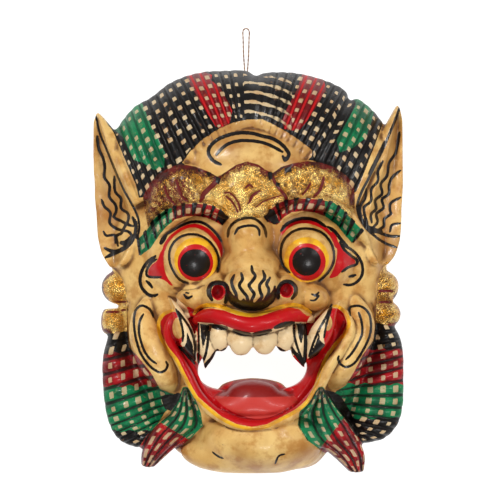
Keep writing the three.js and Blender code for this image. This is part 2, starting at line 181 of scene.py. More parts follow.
def twisted_tube(line, steps, diameter, pitch, around=12, ring=False):
    """Two plies twisted along a line, as one tube with a two-lobed section."""
    bm = bmesh.new()
    bmesh.ops.create_grid(bm, x_segments=around, y_segments=steps, size=0.5)
    grid = coordinates(bm)
    angle = (grid[:, 0] + 0.5) * 2 * math.pi
    share = grid[:, 1] + 0.5
    t = line.even(share, 1200)
    centre = line.at(t)
    ahead = line.at(np.clip(t + 1e-3, 0, 1)) - line.at(np.clip(t - 1e-3, 0, 1))
    ahead /= np.linalg.norm(ahead, axis=1, keepdims=True)
    side = np.cross(ahead, [0.0, 0.0, 1.0] if not ring else [0.3, 0.2, 0.93])
    side /= np.linalg.norm(side, axis=1, keepdims=True)
    up = np.cross(side, ahead)
    turns = round(line.length() / pitch)
    lobes = 0.81 + 0.19 * np.cos(2 * (angle - math.pi * turns * share))
    radius = (diameter / 2 * lobes)[:, None]
    place(bm, centre + radius * (np.cos(angle)[:, None] * side + np.sin(angle)[:, None] * up))
    return closed_up(bm)


def piece_from(bm, name):
    """A finished piece in metres, from a bmesh in millimetres."""
    bmesh.ops.transform(bm, matrix=Matrix.Scale(MM, 4), verts=bm.verts[:])
    mesh = bpy.data.meshes.new(name)
    bm.to_mesh(mesh)
    bm.free()
    mesh.shade_smooth()
    return linked(name, mesh)


# %% Twine and knot
PLY_PITCH = 3.2
route = twine_route()
route_length = route.length()
twine = piece_from(twisted_tube(route, 480, CORD_DIAMETER, PLY_PITCH), "twine_loop")


def knot_line():
    """An overhand knot drawn tight, as a closed line with three crossings."""
    turn = np.linspace(0, 2 * math.pi, 25)
    x = np.sin(turn) + 2 * np.sin(2 * turn)
    y = np.cos(turn) - 2 * np.cos(2 * turn)
    z = -1.2 * np.sin(3 * turn)
    size = (KNOT_DIAMETER / 2 - 0.75) / 3.05
    return Line(np.stack([CORD_X + size * x, KNOT_Y + size * y, CORD_HOLE_HEIGHT + size * z * 0.9], axis=1))


knot = piece_from(twisted_tube(knot_line(), 150, 1.4, PLY_PITCH, ring=True), "twine_knot")
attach(twine, "root")
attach(knot, "root")
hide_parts("hanging_cord")
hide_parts("cord_knot")
route_points = route.at(route.even(np.linspace(0, 1, 240))) * MM
print("twine", round(route_length, 1), "mm long")

# %% [markdown]
# ## Forms that a carver would rough out
# The head is a pile of simple closed forms: eggs, rolls along a line, reliefs between two edges and one dome.
# They repeat the solids' sizes with far more faces. A voxel remesh then melts them into one skin, as a knife
# blends one form into the next. Modelling the skin face by face would give cleaner loops, but no better look.

# %% Four ways to rough out a form
BELOW_BACK = -4.0


def ball(middle, half_sizes, turn=0.0, around=48):
    """An egg-shaped form, turned in the plane of the face by so many degrees."""
    bm = bmesh.new()
    shape = Matrix.Diagonal((*half_sizes, 1.0))
    where = Matrix.Translation(middle) @ Matrix.Rotation(math.radians(turn), 4, "Z") @ shape
    bmesh.ops.create_uvsphere(bm, u_segments=around, v_segments=around // 2, radius=1, matrix=where)
    return bm


def roll(points, width, height, steps=40, around=24, fullness=0.5):
    """A roll of wood along a line: half as wide as width(t) says and half as high as height(t) says."""
    line = Line(points)
    bm = bmesh.new()
    bmesh.ops.create_uvsphere(bm, u_segments=around, v_segments=steps, radius=1)
    p = coordinates(bm)
    girth = np.hypot(p[:, 0], p[:, 1])
    t = np.arccos(np.clip(p[:, 2], -1, 1)) / math.pi
    swell = np.where(girth < 1e-6, 0, np.maximum(girth, 1e-6) ** (fullness - 1))
    middle = line.at(t)
    ahead = line.at(np.clip(t + 1e-3, 0, 1)) - line.at(np.clip(t - 1e-3, 0, 1))
    ahead /= np.hypot(ahead[:, 0], ahead[:, 1])[:, None]
    across = p[:, 0] * swell * width(t)
    middle[:, 0] -= ahead[:, 1] * across
    middle[:, 1] += ahead[:, 0] * across
    middle[:, 2] += p[:, 1] * swell * height(t)
    place(bm, middle)
    bmesh.ops.recalc_face_normals(bm, faces=bm.faces[:])
    return bm


def relief(edge_a, edge_b, columns, rows, top):
    """A raised field between two edges, with u along both and v from one to the other."""
    bm = bmesh.new()
    bmesh.ops.create_grid(bm, x_segments=columns, y_segments=rows, size=0.5)
    lifted = bmesh.ops.extrude_face_region(bm, geom=bm.faces[:], use_keep_orig=True)["geom"]
    for item in lifted:
        if isinstance(item, bmesh.types.BMVert):
            item.co.z = 1
    p = coordinates(bm)
    u, v = p[:, 0] + 0.5, p[:, 1] + 0.5
    where = edge_a(u) + (edge_b(u) - edge_a(u)) * v[:, None]
    where[:, 2] = np.where(p[:, 2] > 0.5, top(u, v), BELOW_BACK)
    place(bm, where)
    bmesh.ops.recalc_face_normals(bm, faces=bm.faces[:])
    return bm


def loft(outline, heights, share, around=160):
    """A form whose outline shrinks with height as share(height) says."""
    bm = bmesh.new()
    bmesh.ops.create_grid(bm, x_segments=around, y_segments=len(heights) - 1, size=0.5)
    p = coordinates(bm)
    row = np.rint((p[:, 1] + 0.5) * (len(heights) - 1)).astype(int)
    middle = outline.at(np.linspace(0, 1, around, endpoint=False)).mean(axis=0)
    where = outline.at((p[:, 0] + 0.5) % 1.0)
    where = middle + (where - middle) * np.array([share(z) for z in heights])[row][:, None]
    where[:, 2] = np.array(heights)[row]
    place(bm, where)
    return closed_up(bm)


def constant(value):
    return lambda t: np.full_like(t, value)


def mix(a, b, t):
    return a + (b - a) * t


# %% The dome of the face, and the plump forms on it
FACE_LINE = Line(
    [
        (1, 124), (-46, 110), (-76, 80), (-92, 39), (-96, 6), (-92, -21), (-87, -49), (-79, -73),
        (-68, -94), (-64, -112), (-53, -125), (-36, -137), (1, -141), (33, -141.5), (49, -137),
        (60, -120), (73, -96), (85, -73), (92, -49), (95, -21), (98, 6), (95, 39), (80, 76), (50, 108),
    ],
    closed=True,
)
FACE_HEIGHTS = [BELOW_BACK, 15, 21, 30, 38, 46, 52, 56, 57]
FACE_SHARES = [1, 1, 0.98, 0.92, 0.81, 0.65, 0.46, 0.24, 0]
FACE_TOP = FACE_HEIGHTS[-1]
LEFT_CHEEK = [(-69, -17, 38), (-73, -36, 42), (-67, -58, 44), (-57, -74, 42), (-49, -84, 36)]
RIGHT_CHEEK = [(73, -16, 38), (78.5, -35, 42), (71.5, -56, 44), (62.5, -72, 42), (55.5, -83, 36)]


def face_dome():
    wall, cap = np.linspace(BELOW_BACK, 15, 6), [53.5, 55, 56, 56.6, FACE_TOP]
    steps = np.concatenate([wall, np.linspace(16, 52, 26), cap])
    return loft(FACE_LINE, list(steps), lambda z: float(np.interp(z, FACE_HEIGHTS, FACE_SHARES)))


def plump_forms():
    cheek = constant(13)
    swelling = lambda t: 9 + 3 * np.sin(math.pi * t)
    return [
        ball((10, -117, 36), (43, 22, 31)),
        ball((2, -128, 28), (50, 15, 25)),
        ball((-38, 8, 36), (34, 33, 23), 10),
        ball((41, 9, 36), (34, 33, 23), -10),
        ball((-36, -17, 50), (14, 10, 16), 25),
        ball((43, -17, 50), (14, 10, 16), -25),
        ball((3, -14, 50), (44, 20, 26)),
        ball((0.5, 70, 36), (50, 34, 26), 0, 64),
        roll(LEFT_CHEEK, swelling, cheek),
        roll(RIGHT_CHEEK, swelling, cheek),
    ]


# %% Hair, diadem and ears
HAIR_OUTER = Line([
    (-100, 91), (-81, 114.4), (-67.7, 122.2), (-56.4, 131.3), (-39.5, 138), (-19.7, 140.6), (-0.7, 140.5),
    (5.2, 137), (11.3, 138.8), (29.6, 139.4), (49.3, 135.6), (68.4, 126.4), (71.9, 119.6), (76.8, 121.1),
    (89.5, 111.6), (101, 97),
])
HAIR_INNER = Line([
    (-80, 45), (-57.3, 56), (-42.8, 66), (-29.7, 80), (-17.9, 92), (-7.6, 98), (0, 100),
    (3.5, 100), (7, 99), (15.9, 96), (27.6, 88), (40.1, 75), (45.6, 69), (51.1, 65),
    (62.2, 58), (76, 44),
])
HAIR_LOCKS = 34
LOCK_DEPTH = 2.0


def hair_outer(u):
    return HAIR_OUTER.at(HAIR_OUTER.even(u))


def hair_inner(u):
    return HAIR_INNER.at(HAIR_OUTER.even(u))


def hair():
    def top(u, v):
        swept = mix(52, 36, v) + 4 * np.sin(math.pi * v) - 14 * np.abs(2 * u - 1) ** 5
        crown = np.clip(np.abs(u - 0.5) / 0.05 - 0.2, 0.1, 1)
        flute = LOCK_DEPTH * crown * (1 - np.cos(2 * math.pi * HAIR_LOCKS * u)) / 2
        return swept - 15 * v**6 + flute

    return relief(hair_inner, hair_outer, HAIR_LOCKS * 10, 40, top)


DIADEM_TOP = Line([
    (-71, 50), (-65.6, 62.7), (-56.6, 70.6), (-46.9, 73.7), (-36.6, 72.3), (-27.6, 68.9), (-20.7, 65.1),
    (-12, 71), (-0.7, 75.8), (10, 71.5), (17.3, 66.1), (26, 73), (41.4, 75.8), (56, 73), (68.4, 64.8),
    (72, 53),
])
DIADEM_BOTTOM = Line([
    (-69, 32), (-62, 38), (-54, 42), (-44, 44), (-34, 44), (-26, 41), (-17, 36),
    (-8, 33), (-1.4, 32), (6, 33), (15, 37), (24, 43), (40, 46), (56, 42), (66, 35), (71, 29),
])


def diadem():
    def top(u, v):
        leaf = np.abs(np.sin(math.pi * 3 * u)) ** 0.6
        arch = 16 * np.maximum(np.sin(math.pi * u), 0) ** 0.7
        return 38 + arch + (4 + 7 * leaf) * np.sin(math.pi * mix(0.12, 0.88, v))

    return relief(DIADEM_BOTTOM.at, DIADEM_TOP.at, 160, 30, top)


EARS = [
    (
        [(-97, 2), (-103, 12), (-106, 25), (-107, 40), (-108.5, 60), (-109.5, 80), (-109.5, 105),
         (-107.5, 111)],
        [(-86, 4), (-73, 17), (-66, 36), (-75, 64), (-86, 84), (-94, 98), (-101, 106.5), (-106.5, 112)],
    ),
    (
        [(98, 4), (103, 10), (107, 22), (108.5, 42), (109.5, 60), (109.5, 80), (109.5, 105), (107.5, 116)],
        [(87, 5), (75, 20), (71, 42), (77, 60), (86, 78), (93, 93), (98.5, 104.5), (105.5, 117)],
    ),
]
EAR_RIM_START = 0.62


def ear(outer, inner):
    def top(u, v):
        thick = mix(36, 20, u)
        dish = 4.5 * np.sin(math.pi * np.minimum(1, v / EAR_RIM_START))
        rim = 4 * np.sin(math.pi * v)
        onto_rim = np.clip((v - EAR_RIM_START + 0.05) / 0.07, 0, 1)
        return mix(mix(thick - 9, thick - 3, v) - dish, thick + rim, onto_rim)

    return relief(Line(outer).at, Line(inner).at, 70, 40, top)


# %% Eyes, brows and nose
EYES = [
    ((-37.8, 9.7), [(-52, 6, 48), (-62, 2, 46), (-70, 0, 40)]),
    ((40.8, 11), [(56, 8, 48), (66, 3, 46), (73.5, 5, 40)]),
]
EYEBALL_RADIUS = 20.5
EYEBALL_DEPTH = 50.0
BROWS = [
    [(-72, 12, 36), (-65, 24, 44), (-55, 34, 51), (-42, 41.5, 57), (-29, 44, 60), (-19, 41, 60),
     (-12, 35, 58)],
    [(21, 35, 58), (30, 42, 60), (42.5, 46.5, 60), (56, 45, 57), (68, 38, 51), (77, 28, 44), (84, 18, 36)],
]
NOSTRILS = [(-20.5, -14, 77), (25.8, -12.5, 77)]
NOSTRIL_SIZE = (4, 4.8, 7)


def eyes():
    made = []
    for (x, y), corner in EYES:
        made.append(ball((x, y, EYEBALL_DEPTH), (EYEBALL_RADIUS,) * 3, 0, 64))
        made.append(ball((x, y + 3, 40), (26.5, 24, 21), 0, 64))
        made.append(roll(corner, lambda t: mix(11, 1.5, t), lambda t: mix(10, 5, t), fullness=0.35))
    return made


def brows():
    return [roll(line, constant(5.2), constant(7), steps=60, around=20, fullness=0.35) for line in BROWS]


def nose():
    return [
        ball((-0.3, 23.5, 54), (14.6, 17, 22)),
        ball((1.5, 3, 58), (20, 12, 26)),
        ball((2.5, -10, 66), (19.5, 15.5, 30), 0, 64),
    ] + [ball((x, y - 0.5, 60), (10, 11, 20)) for x, y, _ in NOSTRILS]


# %% Mouth, lips, teeth, tusks and tongue
LIP_LINE = [
    (-45.5, -27, 50), (-53, -34, 54), (-55, -44, 55), (-49, -58, 55), (-42, -71, 55), (-35, -85, 56),
    (-24, -96.5, 58), (-9, -104, 60), (3, -106, 61), (18.5, -104, 60), (35.5, -95.5, 58),
    (48, -81.5, 56), (56.5, -65, 55), (66.5, -51, 54), (71, -40, 54), (67.5, -30, 53), (61, -25, 50),
]
UPPER_LIP = [
    (-38, -36, 52), (-31, -32, 60), (-22, -30.5, 66), (-10.5, -33, 71), (1.5, -36, 73), (15, -34.5, 71),
    (27, -31, 66), (37, -30.5, 60), (46, -35, 52),
]
MOUTH_TOP = [(45, -33), (20, -38), (0, -41), (-16, -38), (-34, -33)]
MOUTH_LINE = Line([(x, y) for x, y, _ in LIP_LINE] + MOUTH_TOP, closed=True)
HOLE_LINE = Line(
    [
        (-34.5, -66.5), (-34, -75), (-29, -80), (-15, -84), (3, -84), (18, -84), (33.5, -79.5), (39, -74),
        (41, -66.5), (38, -59), (29, -53), (3, -51.5), (-22, -53), (-30, -59),
    ],
    closed=True,
)
MOUTH_FLOOR = 40.0
BLOCK = (219.0, 282.0, 96.0)
TEETH = [(-18.8, -55.6, 64, 6.4), (-4.8, -57.8, 67, 8.5), (11.2, -57.4, 67, 8.3), (24.8, -55.2, 64, 6.5)]
TOOTH_TOP = -33.0
FANGS = [
    ([7.0, 4.8, 6.2, 1.4], [(-29.5, -34, 57), (-31.2, -45, 62), (-27.6, -56, 61), (-29.6, -67.8, 58)]),
    ([5.0, 4.4, 5.4, 1.4], [(35.6, -33, 57), (35.8, -45, 62), (34.6, -56, 61), (38.6, -66.6, 58)]),
]
TUSKS = [
    [(-55.5, -16.5, 60), (-49.4, -26, 64), (-44, -40, 66), (-39.4, -53, 63), (-34.6, -64, 56)],
    [(64, -19.5, 60), (57.6, -28, 64), (50.6, -41, 66), (44.4, -53, 63), (37.8, -65, 56)],
]

TUSK_WIDTHS = (4.9, 6.6)
GUM = [(-26, -41.5, 57), (3, -43.5, 60), (31, -40.5, 57)]
CORNER_BALLS = [((-48, -39.5, 55), (5.4, 8.6, 8)), ((56.5, -35.5, 55), (4.4, 6.4, 8))]


def mouth_recess():
    """The funnel behind the lips and the hole through the back of the mouth, as two forms that overlap."""
    hole = loft(HOLE_LINE, [BELOW_BACK - 2, MOUTH_FLOOR + 9], lambda z: 1.0)
    depths = [MOUTH_FLOOR, MOUTH_FLOOR + 8, BLOCK[2]]
    funnel_share = lambda z: float(np.interp(z, depths, [0.74, 0.86, 0.97]))
    funnel = loft(MOUTH_LINE, list(np.linspace(MOUTH_FLOOR, BLOCK[2] + 1, 30)), funnel_share)
    return [hole, funnel]


def lips():
    narrow = lambda t: 7.4 - 2.5 * np.abs(2 * t - 1) ** 3
    low = lambda t: 12 - 2 * np.abs(2 * t - 1)
    return [
        roll(LIP_LINE, constant(4.2), constant(6), steps=120, around=20, fullness=0.3),
        roll(UPPER_LIP, narrow, low, steps=70, around=24, fullness=0.3),
    ]


def teeth():
    made = []
    for x, tip, z, half_width in TEETH:
        spine = [(x, TOOTH_TOP, z - 1), (x, (TOOTH_TOP + tip) / 2, z), (x, tip, z - 2)]
        made.append(roll(spine, constant(half_width + 0.5), constant(5.2), fullness=0.42))
    made.append(roll(GUM, constant(7.6), constant(4.6), fullness=0.3))
    for widths, spine in FANGS:
        wide = lambda t, widths=widths: np.interp(t, np.linspace(0, 1, len(widths)), widths)
        made.append(roll(spine, wide, lambda t: mix(7, 3, t), fullness=0.45))
    for thick, spine in zip(TUSK_WIDTHS, TUSKS):
        wide = lambda t, thick=thick: thick * np.maximum(np.sin(math.pi * t**1.25), 0) ** 0.9 + 0.8
        made.append(roll(spine, wide, lambda t: mix(6, 9, t), fullness=0.6))
    return made + [ball(middle, size) for middle, size in CORNER_BALLS]


def tongue():
    return [
        ball((5, -93, 40), (33, 11.5, 20.5)),
        ball((3.5, -87, 43), (19, 11, 17)),
        ball((3, -83, 26), (24, 9, 20)),
    ]


# %% Ear studs, plaits and scarf ends
STUDS = [((-91, -12, 15), (12.5, 12, 17)), ((94.5, -12, 15), (12, 12, 16)), ((96, -31, 15), (12, 10, 15))]
SQUARE_STUD = ((-94.5, -36, 15), (9.5, 9.2, 15))
PLAITS = [
    (
        Line([(-97, -41), (-102.6, -62), (-102.3, -81), (-100, -100), (-96, -112), (-90, -120),
              (-81, -124), (-71, -125)]),
        Line([(-82, -39), (-74, -55), (-64, -70), (-54, -84), (-48, -92), (-48, -100), (-52, -108),
              (-62, -117)]),
    ),
    (
        Line([(101.5, -37), (107, -47), (109.5, -58), (109.9, -73), (109.4, -92), (106, -107),
              (97, -118), (81, -122)]),
        Line([(85, -35), (78, -52), (70, -68), (62, -82), (56, -90), (58, -100), (64, -108), (72, -115)]),
    ),
]
PLAIT_RIDGES = 13
RIDGE_DEPTH = 1.8
SCARVES = [
    (
        Line([(-45, -80), (-49.5, -91.7), (-54.4, -100.1), (-63.5, -107.7), (-69.4, -114.7),
              (-74.6, -128), (-75, -137)]),
        Line([(-41, -80), (-37, -89.6), (-33.5, -98.7), (-31.7, -107.7), (-40.5, -116.1),
              (-53.7, -125.9), (-66.3, -138)]),
    ),
    (
        Line([(48, -80), (42.6, -90.3), (36.3, -98.7), (35.6, -107), (41.9, -117.5), (57.2, -128),
              (71, -141)]),
        Line([(53, -80), (57.9, -90.3), (64.9, -100.1), (71.9, -108.4), (77.4, -118.2), (81.6, -129.4),
              (81, -141)]),
    ),
]
SCARF_GROOVES = 3.5


def studs():
    (x, y, z), size = SQUARE_STUD
    spine = [(x, y + size[1], z), (x, y - size[1], z)]
    flat_ended = roll(spine, constant(size[0]), constant(size[2]), fullness=0.15)
    return [ball(middle, half_sizes) for middle, half_sizes in STUDS] + [flat_ended]


def plaits():
    def top(u, v):
        round_over = 12 * np.maximum(np.sin(math.pi * np.minimum(1, v * 1.35 + 0.08)), 0) ** 0.6
        return 15 + round_over + RIDGE_DEPTH * (1 - np.cos(2 * math.pi * PLAIT_RIDGES * u)) / 2

    return [relief(outer.at, inner.at, PLAIT_RIDGES * 10, 30, top) for outer, inner in PLAITS]


def scarves():
    def top(u, v):
        swell = 12 * np.sin(math.pi * mix(0.12, 0.88, v))
        return mix(40, 24, u) + swell + RIDGE_DEPTH * (1 - np.cos(2 * math.pi * SCARF_GROOVES * v)) / 2

    return [relief(left.at, right.at, 70, 40, top) for left, right in SCARVES]


# %% [markdown]
# ## From the pile of forms to one skin
# Modifiers do the heavy work on throwaway objects. A voxel remesh joins closed forms that overlap, and a
# boolean cuts the mouth, the hollow and the flat back. A knife leaves no perfect surface, so the skin is then
# relaxed a little and moved by low, wide noise.


# %% Work on a throwaway object
def mesh_of(forms):
    pile = bmesh.new()
    scrap = bpy.data.meshes.new("scrap")
    for form in forms:
        form.to_mesh(scrap)
        form.free()
        pile.from_mesh(scrap)
    pile.to_mesh(scrap)
    pile.free()
    return scrap


def finished(scratch):
    """The mesh of a throwaway object after its modifiers. The object itself goes."""
    shown = scratch.evaluated_get(bpy.context.evaluated_depsgraph_get())
    done = bpy.data.meshes.new_from_object(shown)
    bpy.data.objects.remove(scratch)
    return done


def worked(mesh, kind, **settings):
    """A mesh after one modifier."""
    scratch = linked("scratch", mesh)
    modifier = scratch.modifiers.new("work", kind)
    for name, value in settings.items():
        setattr(modifier, name, value)
    return finished(scratch)


def cut(mesh, tool_mesh, operation="DIFFERENCE"):
    tool = linked("tool", tool_mesh)
    done = worked(mesh, "BOOLEAN", object=tool, operation=operation, solver="MANIFOLD")
    bpy.data.objects.remove(tool)
    return done


def melted(mesh, size):
    return worked(mesh, "REMESH", mode="VOXEL", voxel_size=size)


# %% Carve the head and open its mouth
ROUGH_VOXEL = 1.1
SKIN_VOXEL = 0.92

face_forms = [face_dome(), *plump_forms(), hair(), diadem(), *[ear(*edges) for edges in EARS]]
feature_forms = [*eyes(), *brows(), *nose(), *studs(), *plaits(), *scarves()]
head = melted(mesh_of(face_forms + feature_forms), ROUGH_VOXEL)
for hollowed in mouth_recess() + [ball(middle, NOSTRIL_SIZE) for middle in NOSTRILS]:
    head = cut(head, mesh_of([hollowed]))
print("head", len(head.polygons), "faces after its mouth is cut")

pile = bmesh.new()
pile.from_mesh(head)
skin = melted(mesh_of([pile, *lips(), *teeth(), *tongue()]), SKIN_VOXEL)
print("skin", len(skin.polygons), "faces")

# %% [markdown]
# ## The drawing plane
# The painter's lines are drawn as the mask is seen from the front, on a sheet of 500 by 500 squares with its
# top left corner at 0, 0. This cell finds where each point of the skin lies on that sheet, so that a line
# drawn there runs over every bump of the carving.


# %% Points of the skin on the drawing
def on_drawing(points):
    scale = DRAWING_SCALE * (CAMERA_HEIGHT - points[:, 2]) / (CAMERA_HEIGHT - DRAWING_HEIGHT)
    across = DRAWING_SIZE / 2 + (points[:, 0] - CAMERA_X) / scale
    down = DRAWING_SIZE / 2 - (points[:, 1] - CAMERA_Y) / scale
    return np.stack([across, down], axis=1)


FAR = 9.0


def near(where, line, margin):
    low, high = line.min(axis=0) - margin, line.max(axis=0) + margin
    return np.flatnonzero(((where > low) & (where < high)).all(axis=1))


def to_line(where, line):
    """Distance to a run of short straight steps, and how far along it the nearest point is."""
    a, b = line[:-1], line[1:]
    step = b - a
    size = np.maximum((step**2).sum(axis=1), 1e-9)
    offset = where[:, None, :] - a[None]
    t = np.clip((offset * step).sum(axis=2) / size, 0, 1)
    gap = np.linalg.norm(offset - t[..., None] * step, axis=2)
    nearest = gap.argmin(axis=1)
    rows = np.arange(len(where))
    run = np.concatenate([[0], np.cumsum(np.sqrt(size))])
    return gap[rows, nearest], run[nearest] + t[rows, nearest] * np.sqrt(size[nearest]), run[-1]


def stroke(where, width, points):
    """Millimetres from the edge of a brush stroke, less than nothing inside it. Its ends taper a little."""
    line = Line(points).at(np.linspace(0, 1, 4 * len(points)))[:, :2]
    edge = np.full(len(where), FAR)
    some = near(where, line, 12)
    for part in np.array_split(some, len(some) // 8000 + 1):
        gap, run, whole = to_line(where[part], line)
        to_end = np.minimum(run, whole - run) / (1.1 * width)
        edge[part] = np.minimum(FAR, (gap - width / 2 * np.clip(0.66 + 0.34 * to_end, 0, 1)) * DRAWING_SCALE)
    return edge


def patch(where, points, smooth=False):
    """Millimetres from the edge of a filled shape, less than nothing inside it."""
    outline = Line(points, closed=True).at(np.linspace(0, 1, 5 * len(points)))[:, :2] if smooth else points
    outline = np.vstack([outline, outline[:1]]).astype(float)
    edge = np.full(len(where), FAR)
    some = near(where, outline, 12)
    for part in np.array_split(some, len(some) // 8000 + 1):
        p = where[part]
        gap = to_line(p, outline)[0]
        a, b = outline[:-1], outline[1:]
        spans = (a[:, 1] > p[:, 1, None]) != (b[:, 1] > p[:, 1, None])
        rise = np.where(b[:, 1] == a[:, 1], 1e-9, b[:, 1] - a[:, 1])
        crossing = a[:, 0] + (p[:, 1, None] - a[:, 1]) / rise * (b[:, 0] - a[:, 0])
        inside = (spans & (p[:, 0, None] < crossing)).sum(axis=1) % 2 == 1
        edge[part] = np.minimum(FAR, np.where(inside, -gap, gap) * DRAWING_SCALE)
    return edge


def disc(where, x, y, rx, ry=None):
    reach = np.hypot((where[:, 0] - x) / rx, (where[:, 1] - y) / (ry or rx))
    return np.clip((reach - 1) * min(rx, ry or rx) * DRAWING_SCALE, -FAR, FAR)


def least(edges):
    """The nearest of several edges at each point."""
    return np.minimum.reduce(list(edges))


def strokes(where, lines):
    return least(stroke(where, *line) for line in lines)


def patches(where, fields, smooth=False):
    return least(patch(where, field, smooth) for field in fields)


def discs(where, circles):
    return least(disc(where, *circle) for circle in circles)


# %% Places on a strip such as the hair or a plait
def on_strip(points, edge_a, edge_b, lines=700):
    """U along a strip and v across it, for points in its plane. Straight lines join its two edges."""
    t = np.linspace(0, 1, lines)
    a, b = edge_a(t)[:, :2], edge_b(t)[:, :2]
    across = b - a
    width = np.linalg.norm(across, axis=1)
    u, v = np.zeros(len(points)), np.full(len(points), 9.0)
    low, high = np.minimum(a, b).min(axis=0) - 12, np.maximum(a, b).max(axis=0) + 12
    some = np.flatnonzero(((points > low) & (points < high)).all(axis=1))
    for part in np.array_split(some, len(some) // 5000 + 1):
        offset = points[part][:, None, :] - a[None]
        side = (across[:, 0] * offset[..., 1] - across[:, 1] * offset[..., 0]) / width
        share = (offset * across).sum(axis=2) / width**2
        nearest = np.where(np.abs(share - 0.5) < 0.9, np.abs(side), 1e3).argmin(axis=1)
        rows = np.arange(len(part))
        beside = np.clip(nearest + 1, 1, lines - 1)
        slope = side[rows, beside] - side[rows, beside - 1]
        slope = np.where(np.abs(slope) < 1e-6, 1e-6, slope)
        shift = np.clip(-side[rows, nearest] / slope, -1, 1) / (lines - 1)
        u[part] = np.clip(t[nearest] + shift, 0, 1)
        v[part] = share[rows, nearest]
    return u, v, np.interp(u, t, width)


def scatter(column, row, seed):
    """An even random number for each square of a check, the same on every run."""
    mixed = np.sin(column * 127.1 + row * 311.7 + seed * 74.7) * 43758.5453
    return mixed - np.floor(mixed)


def check(across, along, column, row, half_width, half_length, seed):
    """Millimetres from the edge of a hand-painted square that sits near the middle of its cell."""
    jitter = 0.32
    across = across - jitter * (scatter(column, row, seed) - 0.5) * 2
    along = along - jitter * (scatter(column, row, seed + 1) - 0.5) * 2
    size = 0.8 + 0.4 * scatter(column, row, seed + 2)
    box = np.maximum(np.abs(across) - half_width * size, np.abs(along) - half_length * size)
    missing = scatter(column, row, seed + 3) < 0.06
    return np.where(missing, FAR, box)


# %% [markdown]
# ## The painter's lines
# Each stroke is a width and a few points along it. The points were read off enlarged views, because
# a painter's hand is not a formula, and many of them were then scaled to the squares of the drawing.

# %% Black lines of the forehead, bridge, nose and cheeks
INK = [
    (3.3, [(221, 164.5), (215.4, 162), (210.6, 157.8), (208.4, 152), (210, 146.6), (217.5, 139.7),
           (227.8, 135.2),
           (240, 132.8), (252, 133.3), (263, 136.2), (272, 138.4), (281, 143.8), (286.6, 149.8), (289, 154),
           (287, 158.6), (285, 160), (282.8, 156.2)]),
    (3.0, [(216.4, 155), (221, 149.2), (228.5, 143.7), (239, 140.8), (251, 140.8), (262.5, 142.5),
           (273.8, 147),
           (282.4, 152)]),
    (2.6, [(227.8, 236.8), (229, 229), (234.8, 222), (244.4, 218.3), (253.3, 218.3), (260.3, 222.8),
           (264.8, 229),
           (266.3, 236.8)]),
    (2.4, [(234.8, 234), (238, 228.5), (245.7, 226), (254.6, 226), (259, 229.8), (259.4, 235.5)]),
    (2.9, [(251.7, 266), (252.3, 271), (255.2, 276), (252, 281.4), (249, 285.3), (252, 290.4), (254.3, 294),
           (252, 299.3), (250.8, 304.4)]),
    (2.9, [(241.2, 273), (242.5, 279), (239.3, 285.3), (243, 291.6), (247, 296.7), (247.6, 303)]),
    (2.9, [(234.2, 275), (231.6, 281.4), (233.5, 289), (236, 294), (236.4, 301.8)]),
    (2.9, [(227.8, 286.5), (227.4, 291.6), (229, 298), (233, 301.8)]),
    (2.9, [(263, 271), (264.8, 277.6), (259.7, 285.3), (260.3, 291.6), (262, 296.7), (257, 303)]),
    (2.9, [(270, 277.6), (266.7, 284), (268.6, 289), (268.6, 293), (265, 299.3)]),
    (2.9, [(274.7, 286.5), (274.4, 291.6), (271, 298), (267.3, 303)]),
    (7.4, [(228.4, 293), (233, 300.4), (241.6, 305.4), (252, 306.8), (262, 305.2), (270, 299.8),
           (274.6, 292)]),
    (4.2, [(225.4, 302.4), (227.8, 292), (225.2, 285), (217.6, 282.6), (210.8, 285.2), (208.8, 293),
           (212, 300)]),
    (3.8, [(278.4, 298), (278.4, 289), (282.5, 283), (289, 281.6), (295, 286.2), (295.8, 293), (292, 298.6)]),
    (2.3, [(153.4, 317), (151.3, 311.4), (147, 307.3), (141.4, 305.6), (136.4, 309), (134.3, 315.6),
           (134.3, 328),
           (136.4, 340.4), (140.5, 353), (147, 362.8), (153.8, 369.4), (160.4, 372.3), (166, 369.4),
           (167.5, 364.4),
           (166, 361.6)]),
    (2.3, [(143.4, 314), (139.7, 321.4), (139, 332), (141.4, 343), (145.5, 353), (150.5, 359.5),
           (156.3, 363.6)]),
    (2.3, [(350.3, 315.4), (349.7, 308), (357, 305.7), (364, 308), (369, 314), (371, 323), (370.2, 334),
           (365.8, 345), (360.4, 354.7), (354, 363.4), (346.3, 367), (339.8, 363.4), (338.2, 358),
           (339, 355.8)]),
    (2.3, [(358.7, 312.4), (361.8, 322.7), (362, 334), (357, 345), (350.6, 354.7), (345.7, 359.6)]),
    (1.8, [(212.5, 452), (217.6, 456), (223.3, 458.6)]),
    (1.8, [(285, 454), (279, 456), (275, 463.7)]),
    (2.7, [(184, 294.7), (187.6, 298), (192, 296.3)]),
    (2.4, [(186, 292.6), (188.6, 293.2)]),
    (2.5, [(311.5, 294), (315.7, 295.4), (318.8, 292.4)]),
    (1.9, [(310, 300.3), (314.5, 300.3), (319.4, 295.6)]),
]
